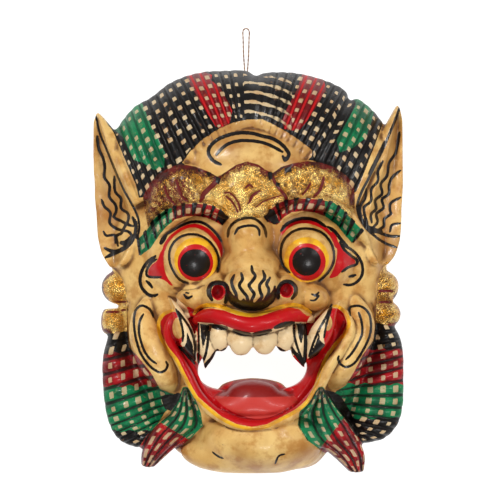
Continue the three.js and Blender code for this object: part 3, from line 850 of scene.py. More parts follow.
# %% Black lines round the eyes
EYE_RINGS = [
    (2.3, [(187.6, 283.3), (179.5, 279.4), (173, 270.4), (169.4, 259.5), (170.2, 249), (176, 240),
           (185.4, 235),
           (195.4, 234.5), (205.6, 238.4), (213.4, 246), (218, 255.5), (218.8, 264), (217.6, 271.4)]),
    (2.4, [(289.9, 272.7), (283.4, 266), (280.6, 255), (283.2, 241.6), (290.8, 233), (300, 229), (311, 228.9),
           (321.4, 232.4), (329, 239.8), (333.4, 249.6), (333.6, 261), (328.4, 272), (319, 281.3)]),
]
INK += EYE_RINGS + [
    (2.5, [(160.5, 243.4), (166, 235), (172.4, 230.6), (182, 225.3), (191, 222), (200.6, 222), (210.4, 227.5),
           (218, 235.8), (221.6, 241.6)]),
    (5.0, [(161, 243), (163.5, 239), (165.5, 236)]),
    (2.3, [(156.8, 259), (150.7, 263.4), (146.6, 270.8), (147.2, 275.8), (156, 277.3), (161, 277)]),
    (3.0, [(155.6, 256), (147.5, 262), (142, 270.8), (140, 279.5), (141.8, 287.6), (147.6, 294), (153, 295.9),
           (157.4, 294.6)]),
    (3.2, [(146.4, 281), (149.6, 284), (152, 287.4)]),
    (3.0, [(281, 230.8), (286, 224.8), (295, 219.9), (307, 218.4), (317, 220.8), (325.4, 226.4)]),
    (3.2, [(328, 227), (333.6, 230.4), (338.4, 236), (343, 241.8), (347, 245.6)]),
    (2.5, [(339.8, 242), (344.6, 250), (351, 255.6), (356.4, 260), (356.8, 264), (349, 267), (342, 271.8)]),
    (2.6, [(342.4, 244.6), (351, 249.4), (358.6, 256.8), (362.6, 267), (361.4, 276.6), (355.4, 283),
           (349.7, 285),
           (344, 284.5)]),
    (3.0, [(349.4, 276.6), (353, 275.8), (355.6, 275)]),
]
# %% Black lines inside the ears
INK += [
    (2.0, [(95.8, 115.6), (100, 133.7), (107.2, 151), (116.6, 173.8), (124.6, 191.6), (132.4, 205.2),
           (138, 218),
           (139.4, 228), (136.8, 238.8)]),
    (2.6, [(97.2, 136.2), (98.6, 148), (103.4, 159), (104.8, 168), (104.4, 177), (109.5, 185.4),
           (109.3, 196.9),
           (115.6, 205), (116, 212), (114, 217), (121.5, 221.2), (127, 224.2), (133, 226.2)]),
    (2.6, [(114.4, 176.5), (115.3, 191.8), (121, 198.6), (121, 208), (128, 213.8), (128.2, 220.4), (124, 228),
           (121.6, 233), (116.6, 236), (115.4, 243)]),
    (2.6, [(101.6, 199.5), (104.2, 206.2), (110.4, 212.6), (109.6, 222.6), (113.4, 226.8), (119.6, 229.8),
           (128.7, 231.8), (131.7, 236), (128.7, 241.8)]),
    (2.4, [(103.4, 231.4), (106.2, 235.6), (114.4, 235.2), (117, 241), (118, 246)]),
    (3.2, [(104.8, 248), (110.6, 250.8), (117.4, 251), (124.6, 246.9)]),
    (5.5, [(121.4, 242.8), (126, 242.6), (130.4, 238)]),
    (3.4, [(105.8, 257.4), (113.6, 253.6), (123.6, 249), (130.7, 242.9), (135.3, 232.7), (135.8, 224.5),
           (132.6, 217.3)]),
    (2.4, [(400.2, 106.4), (395.8, 118.5), (389.2, 134.4), (383.6, 147.6), (376.4, 162), (368.6, 178.4),
           (361.4, 192.4), (357.4, 205.6), (359, 216), (364.2, 225.8), (372.7, 234.4), (384.8, 243),
           (396.4, 247.4)]),
    (1.8, [(384.8, 141), (377.6, 155.6), (368.6, 174)]),
    (2.5, [(399.6, 132), (395.8, 152.4), (389, 163.2), (387, 175.8), (380.6, 184.4), (382.2, 193.6),
           (375, 200.6),
           (376.2, 208.6), (371, 214.2), (371.8, 222.7)]),
    (2.5, [(383, 161), (378, 171.4), (377.8, 181), (371.5, 188.9), (370.8, 201.4), (364.2, 207), (365, 216),
           (367.6, 223.8)]),
    (2.5, [(400.6, 170.4), (392.1, 177.4), (389, 185.4), (388.8, 193.8), (382, 199.4), (383.6, 207.8),
           (376.4, 213.8), (377.6, 222), (372.7, 227.6)]),
    (2.5, [(400.6, 197.3), (390.7, 203.2), (390, 209.8), (390.8, 213.8), (384.4, 218.8), (383.6, 226.4),
           (378, 230)]),
    (2.4, [(400.4, 223.2), (392, 225.2), (389.8, 232)]),
    (2.6, [(400, 236.1), (389.7, 236.1), (378.8, 232.4), (367.9, 226.4), (361.2, 219)]),
    (2.2, [(366.1, 188.8), (365, 199), (360.6, 205.4), (360.6, 215), (363, 221.5)]),
    (5.0, [(366, 226), (373, 230), (381, 231.6)]),
]
# %% Black lines on the tusks, the fangs and under the lip
INK += [
    (2.2, [(176, 309), (180.6, 321), (183, 332.4), (182.6, 341.4)]),
    (2.2, [(177.4, 310.8), (184.4, 319.7), (190.8, 330), (194.6, 342.7), (194.8, 360.5)]),
    (2.4, [(178.8, 346.4), (187, 355), (194.6, 363.6)]),
    (2.2, [(331.8, 304.4), (326, 317), (319.6, 328.6), (314.5, 340), (308.8, 356.7)]),
    (2.0, [(331.8, 307), (326.7, 323.5), (324, 337.6)]),
    (2.5, [(209.3, 324.8), (208, 340), (206, 353), (201, 365.6)]),
    (4.4, [(217.4, 350.4), (211, 360.5), (205.5, 369)]),
    (1.8, [(198.5, 323.5), (199, 350), (199, 364), (203.6, 370)]),
    (2.2, [(294, 322), (294, 332.4), (296.7, 345), (302.4, 360.5)]),
    (3.2, [(305, 325), (305.6, 344), (304.6, 363)]),
    (2.0, [(291.6, 347.5), (297, 356.6), (303.4, 365.6)]),
    (4.6, [(211, 325.6), (217, 327), (226.5, 328)]),
    (4.2, [(234, 330.6), (242, 333.4), (250, 334.2)]),
    (4.2, [(254, 334), (262, 333), (270.6, 330.4)]),
    (4.6, [(275.4, 327.6), (283, 324.8), (292, 322.8)]),
    (2.6, [(213.6, 354), (219, 352.6), (224, 350.2), (229.6, 346.6)]),
    (2.6, [(276.2, 346.8), (281, 349.8), (287, 353.2), (291.6, 354.4)]),
]
INK_PATCHES = [
    [(187, 331.8), (189.5, 337.6), (192.7, 345), (194, 363), (188.3, 359), (178.7, 347), (184.4, 346.5),
     (186.4, 342.7)],
    [(320.3, 331), (319.6, 340), (325.4, 345), (317, 355.4), (308, 360.5), (314.5, 346.5)],
    [(200, 323.5), (209.3, 325.5), (206, 337.5), (203, 349.7), (201, 337.5)],
    [(296.7, 323.5), (304.6, 323.3), (303.7, 332.4), (301.5, 344.6), (298.6, 337.6)],
    [(196.6, 169), (200.6, 169.4), (200, 173.6)],
    [(205.6, 171.6), (211.4, 172.6), (208.4, 177.6)],
    [(215.6, 176), (221, 178), (219, 184.6), (215.4, 182)],
    [(267.4, 172), (272.4, 171.6), (273, 178.6), (268.8, 180.2)],
    [(284, 168.8), (291.6, 165.4), (291.4, 171.6), (285.6, 173.4)],
    [(276, 182), (280, 183), (279.6, 187.4), (275.6, 186)],
    [(227, 288), (230.5, 296), (234, 300), (237, 296.5), (240, 301), (244, 298), (247, 303), (251, 299.5),
     (254.5, 303), (258, 299), (261, 302.4), (265, 297), (268.6, 300), (272, 294), (275.6, 288.6), (276, 295),
     (271, 303.6), (262, 309), (252, 310.6), (241, 309), (232, 303.8)],
    [(204.6, 369.8), (201.8, 366), (210.4, 357), (214.6, 350.6), (218.6, 352)],
    [(305.8, 366.4), (306.2, 360), (297, 352.6), (292.4, 346.8), (290.6, 351.6)],
    [(265, 216.5), (269.5, 211), (274, 208.6), (276, 214), (279.6, 222.6), (274, 224.6), (268.4, 220.4)],
    [(219.6, 209.6), (224.4, 213), (228.4, 218), (222, 225), (218.6, 221.6), (217.4, 214)],
]
# %% Fields of colour, and the lines that are not black
FOREHEAD = [
    (182, 163), (189.6, 152), (202, 139.7), (218.3, 129), (233.6, 122.4), (247, 119.6), (262.3, 119.2),
    (272, 123.6), (285.3, 131), (298.7, 139.7), (306.3, 145.4), (312, 150.2), (312, 156), (307.3, 160.7),
    (293, 162.6), (281.4, 166.5), (273.8, 171.2), (266, 171.2), (256.6, 165), (246, 161.2), (237.4, 163.6),
    (229.8, 169.3), (222, 176), (211.6, 171.2), (199, 167.4), (187.7, 164.5),
]
HAIR_FIELD = [
    (100, 131), (112, 112), (125, 98), (145, 84), (162, 76), (185, 64), (210, 58), (250, 56), (290, 58),
    (320, 64),
    (348, 80), (362, 84), (380, 98), (392, 112), (398, 128), (384, 160), (366, 186), (352, 194), (345, 187),
    (338, 179), (331, 172.6), (322, 166), (314, 160.6), (300, 160), (250, 158), (205, 165), (186, 164),
    (165, 172), (152, 184), (146, 197), (138, 198),
]
LEFT_EAR = [
    (84, 100), (99, 111), (113.4, 132), (125.6, 161), (135.8, 184.7), (140, 202), (147, 226.5), (141, 240),
    (136, 247), (105, 262), (84, 262),
]
RIGHT_EAR = [
    (414, 96), (399, 102), (384, 121), (375.7, 142.7), (361.4, 179.4), (352, 201.8), (349.5, 216), (356, 226),
    (366, 241), (400, 256), (414, 256),
]
HAIR_GREENS = [
    [(108, 124), (124, 112), (136, 100), (142.4, 103.7), (150.6, 125), (158.8, 140.4), (165, 152.7),
     (164, 167),
     (153.7, 170), (143.5, 163), (133.3, 159.8), (123, 137.3)],
    [(352, 92), (369.6, 104), (374, 112), (371.6, 121), (365.5, 138), (353.4, 147.6), (340, 152.5),
     (336.4, 140), (348.5, 118.5), (356, 105)],
]
HAIR_REDS = [
    [(184, 72), (197.8, 69), (212, 75), (211, 80.5), (218.4, 85.7), (224, 94.5), (232.3, 110.6),
     (229.4, 123.8),
     (219.8, 128.6), (215.4, 126), (206, 111.4), (196.4, 95), (189, 82.7)],
    [(303.6, 70), (312.5, 72), (324, 80), (326, 89.5), (318, 103.8), (307, 120.7), (300, 129.6), (292, 130.5),
     (284, 128.8), (282, 120.7), (287.5, 107.3), (296.4, 91.3)],
]
DIADEM_FIELD = [
    (143, 197), (149, 184), (158, 174), (168, 168), (180, 164), (195, 166.4), (208, 171.4), (218, 177),
    (227, 171),
    (236, 165), (247, 161.4), (258, 164.4), (266, 170), (273, 173), (281, 167), (294, 163), (308, 161),
    (322, 163),
    (336, 168), (347, 176), (354, 186), (355, 201), (351, 228), (343, 209), (334, 202), (321.8, 199),
    (307, 197.6),
    (292.7, 198), (280.6, 201), (271, 207.6), (264.8, 217), (247, 219), (228, 217.7), (220, 209.4),
    (210.3, 204.4),
    (198.4, 203), (184.3, 203.4), (173.5, 206.4), (163.7, 210.4), (155, 217), (148, 228),
]
DIADEM_LINES = [
    (2.5, [(164.8, 185.7), (166.5, 193), (169.8, 199), (175.6, 204.8)]),
    (3.0, [(176.4, 180), (179, 189), (182, 196.5), (188, 201.5)]),
    (2.0, [(223.7, 193), (229.5, 193), (235.3, 198), (239.5, 206.4), (240.3, 211.4)]),
    (2.0, [(225.4, 195.7), (231, 200.6), (236, 208), (237.8, 213)]),
    (3.0, [(249, 202.7), (253, 195.3), (260.3, 190.7)]),
    (1.6, [(255.7, 207.4), (263, 201.8), (272.4, 198), (281.6, 195.3)]),
    (2.4, [(245.5, 188), (249.2, 184.7), (253, 187.5)]),
    (2.2, [(302, 195.3), (306.6, 189.8), (311, 182.4)]),
    (3.2, [(313, 198), (319.5, 190.7), (323, 181.5), (323.7, 176.8)]),
    (5.0, [(219.6, 177.4), (213, 185), (204.6, 193), (200.5, 201.5)]),
    (3.4, [(270.5, 173), (274, 180.5), (279.8, 189), (285.3, 196.3), (289, 207.4)]),
]
LEFT_BROW = (
    [(137.7, 239.4), (146.4, 230.7), (155, 217.7), (163.7, 211), (173.5, 207), (184.3, 204), (198.4, 203.6),
     (210.3, 205), (220, 210), (228, 217.7)],
    [(140, 256), (150.7, 248), (159.4, 235), (166, 227), (175, 219.6), (184.3, 216.6), (196, 216),
     (206, 217.6),
     (214.7, 221), (221, 225)],
)
RIGHT_BROW = (
    [(264.8, 217), (271, 208.8), (280.6, 202), (292.7, 199), (307, 198.5), (321.8, 199.7), (334, 202.7),
     (343.6, 210), (351, 218.5), (363, 230.6)],
    [(268.5, 222), (277, 225), (284, 217), (291.5, 212.4), (302.4, 211), (314.5, 212.4), (326.6, 217),
     (336.3, 224.5), (345, 235), (352, 243)],
)
EYE_REDS = [
    [(162, 252.4), (166, 240.5), (174.6, 231.8), (185.4, 225.5), (196, 223.7), (207, 227.8), (215.8, 236),
     (221.8, 244.6), (222.8, 252.4), (221.2, 257.3), (218.5, 248), (212.5, 239.3), (204, 231.2), (194, 227.6),
     (184.3, 229.5), (174.6, 236), (168, 243.6), (164.4, 252)],
    [(165.6, 246), (163.7, 256.7), (164.4, 268), (167.4, 277.4), (172.9, 285.6), (170, 285), (164.8, 280.6),
     (157.2, 277.9), (148.8, 275.7), (148.4, 270.8), (151.4, 265.4), (157.2, 260.4), (160.5, 252.4)],
    [(280.6, 236), (281.4, 231.4), (286, 226), (294, 221.4), (307, 219.6), (317, 222), (326.6, 227.8),
     (335, 237), (338.4, 246), (336, 248), (330.6, 237.4), (323, 229.6), (314.5, 225.4), (306, 223.4),
     (296, 224.6), (288, 228.8), (283.4, 233.8)],
    [(331.5, 226), (335.1, 233), (339.4, 243.7), (347.2, 253), (355, 260.6), (354.6, 264.6), (348.4, 265.7),
     (341.2, 272), (336.3, 276.6), (329.4, 277.8), (332.9, 270.6), (336.3, 259.7), (336.8, 247.6),
     (333, 238)],
]
MOUTH_FIELD = [
    (173, 311.4), (164.5, 315.4), (160.4, 321.6), (161, 333), (167.6, 346), (177.8, 358.6), (184, 371.4),
    (190.5, 384), (198, 396.6), (209.4, 406.6), (222, 416.6), (237, 424.2), (252, 426.8), (267, 424.2),
    (282, 416.6), (296, 409), (306, 400), (313.6, 386.6), (318.6, 371.4), (325, 356), (334, 343),
    (343, 333), (347, 323.4), (344, 313.6), (338, 308.4), (332, 308), (318, 316), (307, 316), (299, 309.2),
    (289, 307.2), (276.3, 310.6), (262, 315.6), (249.5, 317), (236.7, 315.2), (224, 310.6), (211, 308.2),
    (201, 309.8), (196.3, 313.6), (193.6, 309.6), (189, 306.8), (184.4, 307.6), (188, 314), (184, 315.4),
]
YELLOW_LINES = [
    (3.5, [(172.6, 310.2), (164, 314), (159, 320.8), (159.4, 333.6), (166, 346.8), (176.2, 359.4),
           (182.4, 372),
           (189, 384.8), (196.4, 397.7), (208, 408.2), (221, 418.4), (236.5, 426), (252, 428.6), (267.5, 426),
           (283, 418.4), (297.2, 410.6), (307.6, 401.4), (315.2, 387.2), (320.2, 372), (326.6, 356.9),
           (335.6, 344.2), (344.6, 334), (349, 323.4), (345.6, 312.6), (339, 307), (333.7, 305.6)]),
    (3.8, [(194, 314), (198.5, 308), (206, 305.2), (217.6, 305.7), (231.6, 310.8), (244.4, 314.6),
           (256, 314.8),
           (268.6, 311), (282.7, 306.3), (294, 304.8), (303, 307.2), (310.7, 312.7)]),
]
IVORY_TEETH = [
    [(169, 295.5), (175.5, 296.7), (187, 308), (193.4, 325), (197, 332.4), (197.8, 363), (194.6, 365),
     (179.3, 347.8), (182.5, 340), (183.8, 332.4), (180.6, 319.7), (175.5, 308)],
    [(332.4, 299), (328.6, 305.7), (309.4, 317), (305.6, 324.8), (307.5, 359), (324.7, 344), (323.5, 336),
     (326.7, 324.8), (332.4, 307)],
    [(197.8, 322), (213.8, 323.5), (213, 338.8), (218, 351.6), (204.8, 370), (197, 365), (198, 344)],
    [(293, 322), (305.6, 322), (306, 337.6), (304.8, 366), (291.6, 347.5), (292.6, 340)],
    [(211.4, 325.4), (222, 324.4), (234, 329), (247, 332.4), (259.7, 332.4), (272.4, 328.8), (284, 324.2),
     (293.6, 322.6), (295.6, 330), (295, 354), (286, 364), (214, 364), (210.6, 352), (211.6, 340)],
]
TONGUE_FIELD = [
    (215, 396.6), (221, 391.5), (228.7, 387), (234, 381), (241, 376), (254.7, 373.6), (268, 376), (275, 381),
    (280, 387.6), (288, 391.6), (297.4, 400), (290.3, 406), (278.4, 413.6), (266.6, 417.9), (254.7, 418.8),
    (242.9, 416), (231, 410.8), (222, 405),
]
PLAIT_FIELDS = [
    [(127, 328), (129, 347), (139, 358), (151, 373), (160, 389), (170, 393), (180, 396), (175, 404),
     (165, 412),
     (156, 427), (147, 447), (146, 462), (128, 460), (108, 450), (96, 432), (90, 412), (88, 385), (90, 359),
     (98, 338), (110, 330)],
    [(376, 323), (373, 341), (364, 353), (354, 372), (346, 385), (337, 391), (330, 396), (335, 404),
     (344, 415),
     (353, 428), (361, 443), (366, 458), (386, 456), (402, 444), (414, 424), (418, 401), (420, 374),
     (418, 346),
     (404, 322)],
]
SCARF_FIELDS = [
    [(183, 387), (177, 402), (170, 414), (157, 425), (147, 435), (136, 452), (134, 474), (156, 478),
     (172, 453),
     (191, 438), (203, 425.6), (200.6, 412), (195.4, 399), (187.6, 387)],
    [(319, 387), (309, 399.6), (299.4, 412), (298, 424.6), (307, 440), (329, 456), (340, 478), (376, 478),
     (370, 456), (360, 440), (352, 425), (342, 413), (332, 399), (323, 387)],
]
TIES = [
    [(161, 398), (165, 394.6), (172, 395), (178, 392.6), (181.6, 394), (178, 402), (171, 411), (165, 409),
     (163, 404)],
    [(322, 389), (334, 392), (341, 396), (349, 409), (362, 438), (356, 436), (341, 413.6), (331, 400)],
]
STUD_FIELDS = [
    [(118, 273), (123, 280), (126.5, 295), (127, 331), (110.7, 333.6), (96, 333), (92, 320), (100, 303),
     (93, 292),
     (96, 272), (110, 266)],
    [(380, 272), (377.5, 290), (375.6, 322.4), (389.6, 326), (408, 326), (410, 304), (404, 296), (408, 284),
     (402, 264), (386, 262)],
]
STUD_RIMS = [
    (2.0, [(112.4, 272.6), (106.6, 276), (102.2, 281.6), (101, 286.8), (103, 295), (107.6, 301)]),
    (2.0, [(107.6, 304), (101.6, 312), (100.4, 326), (103.3, 329.8), (110.7, 332.4)]),
    (2.0, [(389, 267.6), (394.8, 272.8), (400.4, 284.4), (399.4, 292.4), (395, 297)]),
    (2.0, [(395, 297.6), (400.8, 306), (401.8, 316.6), (400.8, 322.4), (389.6, 325)]),
]
STUD_SLOTS = [
    (2.6, [(107, 311.8), (119, 311.8)]),
    (2.4, [(115, 301.8), (126, 301.8)]),
    (2.4, [(121, 310), (125.6, 310)]),
    (2.6, [(379, 291), (392.7, 291)]),
    (2.6, [(379, 302), (391, 302)]),
]
# Brown lines of painted shade: along creases round the left eye and the cheeks, and under the edges of the
# balls at the corners of the mouth.
SHADE_LINES = [
    (1.7, [(173.6, 319), (171.8, 328), (173.6, 336), (179, 341)]),
    (1.6, [(331.6, 317), (332.8, 324), (329.6, 331)]),
    (1.4, [(174, 288.4), (186, 290), (196, 288.6), (203, 285)]),
    (1.6, [(168.6, 297), (178.6, 301), (187.6, 306.4), (194, 311.6)]),
    (1.5, [(128.6, 303), (126.4, 318), (127, 333), (131, 348), (137.6, 362)]),
    (1.5, [(372, 303), (376.4, 318), (376, 333), (371.6, 349), (364, 363)]),
    (1.4, [(148, 234), (152, 229), (160, 222), (172, 218)]),
]
DIADEM_CREST = [
    (143, 197), (149, 184), (158, 174), (168, 168), (180, 164), (195, 166.4), (208, 171.4), (218, 177),
    (227, 171),
    (236, 165), (247, 161.4), (258, 164.4), (266, 170), (273, 173), (281, 167), (294, 163), (308, 161),
    (322, 163),
    (336, 168), (347, 176), (354, 186), (355, 201),
]
SOFT_FIELDS = [
    [(226, 392.6), (238, 386), (254, 383), (269, 386), (283, 392.6), (290, 400), (279, 410.6), (255, 415),
     (232, 409.6), (220, 400)],
    [(196, 414), (212, 421.6), (236, 432.4), (252, 435), (268, 432.4), (284, 424.4), (297, 416), (299, 426),
     (308, 441), (330, 457), (330, 484), (170, 484), (174, 456), (192, 439), (204, 426)],
    [(224, 214), (236, 211), (250, 210), (262, 212), (271, 221), (275, 236), (273, 248), (281, 262),
     (277, 276),
     (266, 268), (250, 261), (234, 268), (224, 278), (219, 268), (223, 250), (220, 234)],
]
BRUSH_SPREAD = 1.15
PUPILS = [(195.2, 263.2, 15.2, 14.1), (306.6, 261.5, 14.3, 14.3)]
IRISES = [(195.4, 262.6, 17.9, 18.6), (307.2, 262, 18.6, 18.8)]
EYE_YELLOWS = [(196, 259.5, 22), (306.6, 259.7, 22.6)]
MOUTH_CORNERS = [(178.4, 328, 6, 10.6), (328, 323, 4.4, 7.6)]
NOSTRIL_REDS = [(218.4, 292.3, 7, 8), (286.6, 290.4, 7, 7.6)]
print(len(INK), "black strokes and", len(INK_PATCHES), "black patches")

# %% [markdown]
# ## Layers of paint
# A painter works in layers, and so does this cell. Each layer is one number at each point of the skin: how
# many millimetres it lies outside that paint's edge. The material turns it into a crisp edge, so the mesh can
# be coarser than the brushwork. Painting the colour itself on the points would smear it from one to the next.

# %% Squares on hair, plaits and scarves
ROW_PITCH = 7.5
PLAIT_COLUMN = 9.1
SCARF_PITCH = 8.6
BROW_CELLS = 11
CREAM_SQUARE = 1.4
STRIPE_PITCH = 7.0
STRIPE_HALF = 1.0
STRIPES_FROM, STRIPES_TO = 244, 292
STRIPED_MIDDLE, STRIPED_HALF = 268, 24
PARTING, PARTING_HALF = 255, 17


def to_groove(phase, pitch):
    """How far it is to the nearest groove. Grooves lie where the phase is a whole number."""
    return np.abs((phase + 0.5) % 1.0 - 0.5) * pitch


def hair_checks(points, where):
    u, v, reach = on_strip(points[:, :2], hair_inner, hair_outer)
    phase = u * HAIR_LOCKS
    column = np.floor(phase)
    pitch = mix(5.9, 7.1, np.clip(v, 0, 1))
    along = (1 - v) * reach / ROW_PITCH - 0.15 + 0.12 * np.sin(column * 2.1)
    row = np.floor(along)
    across, down = (phase - column - 0.5) * pitch, (along - row - 0.5) * ROW_PITCH
    squares = check(across, down, column, row, CREAM_SQUARE, CREAM_SQUARE, 1)
    squares = np.maximum(squares, (v - 0.95) * reach)
    x = where[:, 0]
    wave = 0.9 * np.sin(x * 0.35 + row * 2)
    stripe = np.abs((v * reach / STRIPE_PITCH + 0.1) % 1.0 - 0.5) * STRIPE_PITCH + wave * 0.4 - STRIPE_HALF
    stripe = np.maximum(stripe, np.maximum(STRIPES_FROM - x, x - STRIPES_TO) * DRAWING_SCALE)
    middle = np.abs(x - STRIPED_MIDDLE) < STRIPED_HALF
    groove = np.where(np.abs(x - PARTING) < PARTING_HALF, FAR, to_groove(phase, pitch))
    return np.where(middle, np.maximum(stripe, -FAR), squares), groove


def plait_checks(points, outer, inner, seed):
    u, v, width = on_strip(points[:, :2], outer.at, inner.at)
    phase = u * PLAIT_RIDGES
    ridge = np.floor(phase)
    pitch = outer.length() / PLAIT_RIDGES * mix(1, 0.75, np.clip(v, 0, 1))
    along = v * width / PLAIT_COLUMN - 0.19
    column = np.floor(along)
    across, down = (along - column - 0.5) * PLAIT_COLUMN, (phase - ridge - 0.5) * pitch
    return check(across, down, column, ridge, 1.7, 1.8, seed), to_groove(phase, pitch)


def scarf_checks(points, left, right, seed):
    u, v, width = on_strip(points[:, :2], left.at, right.at)
    phase = v * SCARF_GROOVES
    stripe = np.floor(phase)
    pitch = width / SCARF_GROOVES
    along = u * left.length() / SCARF_PITCH + 0.5 * (stripe % 2)
    cell = np.floor(along)
    across, down = (phase - stripe - 0.5) * pitch, (along - cell - 0.5) * SCARF_PITCH
    return check(across, down, stripe, cell, 1.25, 2.7, seed), to_groove(phase, pitch)


def brow_cells(where, edges, seed):
    upper, lower = Line(edges[0]), Line(edges[1])
    u, v, width = on_strip(where, upper.at, lower.at)
    phase = u * BROW_CELLS
    cell = np.floor(phase)
    pitch = upper.length() / BROW_CELLS
    bar = (to_groove(phase, pitch) - mix(2.3, 1.0, np.clip(v, 0, 1))) * DRAWING_SCALE
    bar = np.maximum(bar, (v - 0.95) * width * DRAWING_SCALE)
    squares = check((phase - cell - 0.5) * pitch, (v - 0.6) * width, cell, cell * 0, 2.2, 2.6, seed)
    return squares * DRAWING_SCALE, bar


# %% Lay the paint
PAINTS = [
    "ground", "hair", "red", "scarlet", "green", "gold", "lake", "yellow", "cream", "tooth", "tongue", "ink",
    "shade_line", "bare",
]
PLAIT_BANDS = [(353, 386, 431), (349, 384, 418)]
SCARF_TURNS = [((164.8, 425), (185.4, 437.7)), ((324.6, 442.6), (342, 420))]
LEFT_BROW_TURN, RIGHT_BROW_TURN = 172, 325
TOOTH_FRONT = 50.0
BARE_RIM = 2.2
SIDE_WALL, CROWN_WALL, CHIN_WALL, FRONT_WALL = 29, 22, 15, 13
HOLLOW_HALF = (BLOCK[0] / 2 - SIDE_WALL, (BLOCK[1] - CROWN_WALL - CHIN_WALL) / 2, FACE_TOP - FRONT_WALL)
HOLLOW_MIDDLE = (0.0, (CHIN_WALL - CROWN_WALL) / 2, 0.0)


def layers_of(points, normals):
    """Every layer of paint at the given points of the skin, in millimetres, and how near the grooves are."""
    where = on_drawing(points)
    z = points[:, 2]
    steep = 8 * (0.42 - normals[:, 2])
    paint = {name: np.full(len(points), FAR) for name in PAINTS}

    def add(name, edge):
        paint[name] = np.minimum(paint[name], edge)

    def keep_off(name, field):
        paint[name] = np.maximum(paint[name], -field)

    ears = np.minimum(patch(where, LEFT_EAR), patch(where, RIGHT_EAR))
    forehead = patch(where, FOREHEAD)
    hair_edge = np.maximum(np.maximum(patch(where, HAIR_FIELD), -ears), -forehead)
    squares, lock_groove = hair_checks(points, where)
    paint["ground"] = hair_edge
    paint["hair"] = hair_edge
    paint["green"] = np.maximum(patches(where, HAIR_GREENS), hair_edge)
    paint["red"] = np.maximum(patches(where, HAIR_REDS), hair_edge)
    paint["cream"] = np.maximum(squares, hair_edge + 1.0)
    groove = np.where(hair_edge < 0, lock_groove, FAR)

    scarf_all = patches(where, SCARF_FIELDS)
    for side in range(2):
        top, middle, low = PLAIT_BANDS[side]
        plait = np.maximum(patch(where, PLAIT_FIELDS[side]), -scarf_all)
        squares, ridge_groove = plait_checks(points, *PLAITS[side], 11 + side)
        down = where[:, 1] + 1.2 * np.sin(where[:, 0] * 0.4)
        add("ground", plait)
        add("red", np.maximum(plait, np.maximum(top - down, down - middle) * DRAWING_SCALE))
        add("green", np.maximum(plait, np.maximum(middle - down, down - low) * DRAWING_SCALE))
        add("cream", np.maximum(squares, plait + 1.5))
        groove = np.where(plait < 0, ridge_groove, groove)

        scarf = patch(where, SCARF_FIELDS[side])
        squares, fold_groove = scarf_checks(points, *SCARVES[side], 21 + side)
        (ax, ay), (bx, by) = SCARF_TURNS[side]
        beyond = (where[:, 0] - ax) * (by - ay) - (where[:, 1] - ay) * (bx - ax)
        beyond = beyond / math.hypot(bx - ax, by - ay) * DRAWING_SCALE
        for name in ("green", "red", "cream"):
            keep_off(name, scarf)
        add("green", np.maximum(scarf, -beyond))
        add("red", np.maximum(scarf, beyond))
        add("cream", np.maximum(squares, scarf + 0.8))
        groove = np.where(scarf < 0, fold_groove, groove)

    paint["gold"] = patches(where, [DIADEM_FIELD, *STUD_FIELDS])
    paint["lake"] = strokes(where, DIADEM_LINES + STUD_SLOTS)
    bars = []
    for side, edges in enumerate((LEFT_BROW, RIGHT_BROW)):
        brow = patch(where, edges[0] + edges[1][::-1])
        squares, bar = brow_cells(where, edges, 31 + side)
        inwards = where[:, 0] - LEFT_BROW_TURN if side == 0 else RIGHT_BROW_TURN - where[:, 0]
        inwards = inwards * DRAWING_SCALE
        keep_off("gold", brow)
        add("green", np.maximum(brow, inwards))
        add("red", np.maximum(brow, -inwards))
        add("cream", np.maximum(squares, brow + 0.5))
        bars.append(np.maximum(bar, brow - 0.8))

    iris = discs(where, IRISES)
    rings = [stroke(where, *line) for line in EYE_RINGS]
    lips_red = np.maximum(patch(where, MOUTH_FIELD), -discs(where, MOUTH_CORNERS))
    paint["scarlet"] = least([iris, patches(where, EYE_REDS, True), discs(where, NOSTRIL_REDS), lips_red])
    paint["yellow"] = np.minimum(strokes(where, YELLOW_LINES), np.maximum(discs(where, EYE_YELLOWS), -iris))
    paint["tooth"] = np.maximum(patches(where, IVORY_TEETH), TOOTH_FRONT - z)
    paint["tongue"] = patch(where, TONGUE_FIELD, True)

    brushed = strokes(where, [(BRUSH_SPREAD * width, line) for width, line in INK])
    filled = patches(where, INK_PATCHES + TIES)
    paint["ink"] = np.maximum(least([brushed, filled, discs(where, PUPILS), *bars]), steep - 3.2)
    paint["cream"] = np.maximum(paint["cream"], steep)
    paint["shade_line"] = strokes(where, SHADE_LINES)

    off_hollow = (np.sqrt((((points - HOLLOW_MIDDLE) / HOLLOW_HALF) ** 2).sum(axis=1)) - 1) * HOLLOW_HALF[2]
    paint["bare"] = np.minimum(z - BARE_RIM, off_hollow - 1.2)
    return paint, groove, rings


# How much clay shows: on the crest it is partly painted shade, and by the stud rims it is painted shade.
CREST_RUB_AND_SHADE, LEFT_RUB, RIGHT_RUB, STUD_RIM_SHADE = 0.75, 0.42, 0.18, 0.8
LEFT_RUB_FROM, LEFT_RUB_TO, LEFT_RUB_FADE = 135, 214, 30
LEFT_RUB_LOW = 240
RIGHT_RUB_FROM = 285
CREST_REACH = 6


def rubbed_and_shaded(where):
    """How much dark red clay shows through the gold leaf, from 0 to 1: most on the crest and at the left.
    Mostly the leaf is worn through; on the crest the clay is partly painted shade, and by the stud rims it is
    painted shade.
    """
    x, down = where[:, 0], where[:, 1]
    from_crest = stroke(where, 0.1, DIADEM_CREST)
    left = np.clip((LEFT_RUB_TO - x) / LEFT_RUB_FADE, 0, 1) * (x > LEFT_RUB_FROM) * (down < LEFT_RUB_LOW)
    # Along the crest the clay is partly painted shade.
    rub_and_shade = CREST_RUB_AND_SHADE * np.maximum(1 - from_crest / CREST_REACH, 0) + LEFT_RUB * left
    rub_and_shade += RIGHT_RUB * (x > RIGHT_RUB_FROM)
    # Painted shade: clay round the rims of the ear studs.
    from_rim = np.maximum(strokes(where, STUD_RIMS) / 2.5, 0)
    return np.clip(np.maximum(rub_and_shade, STUD_RIM_SHADE * (1 - from_rim * 2)), 0, 1)


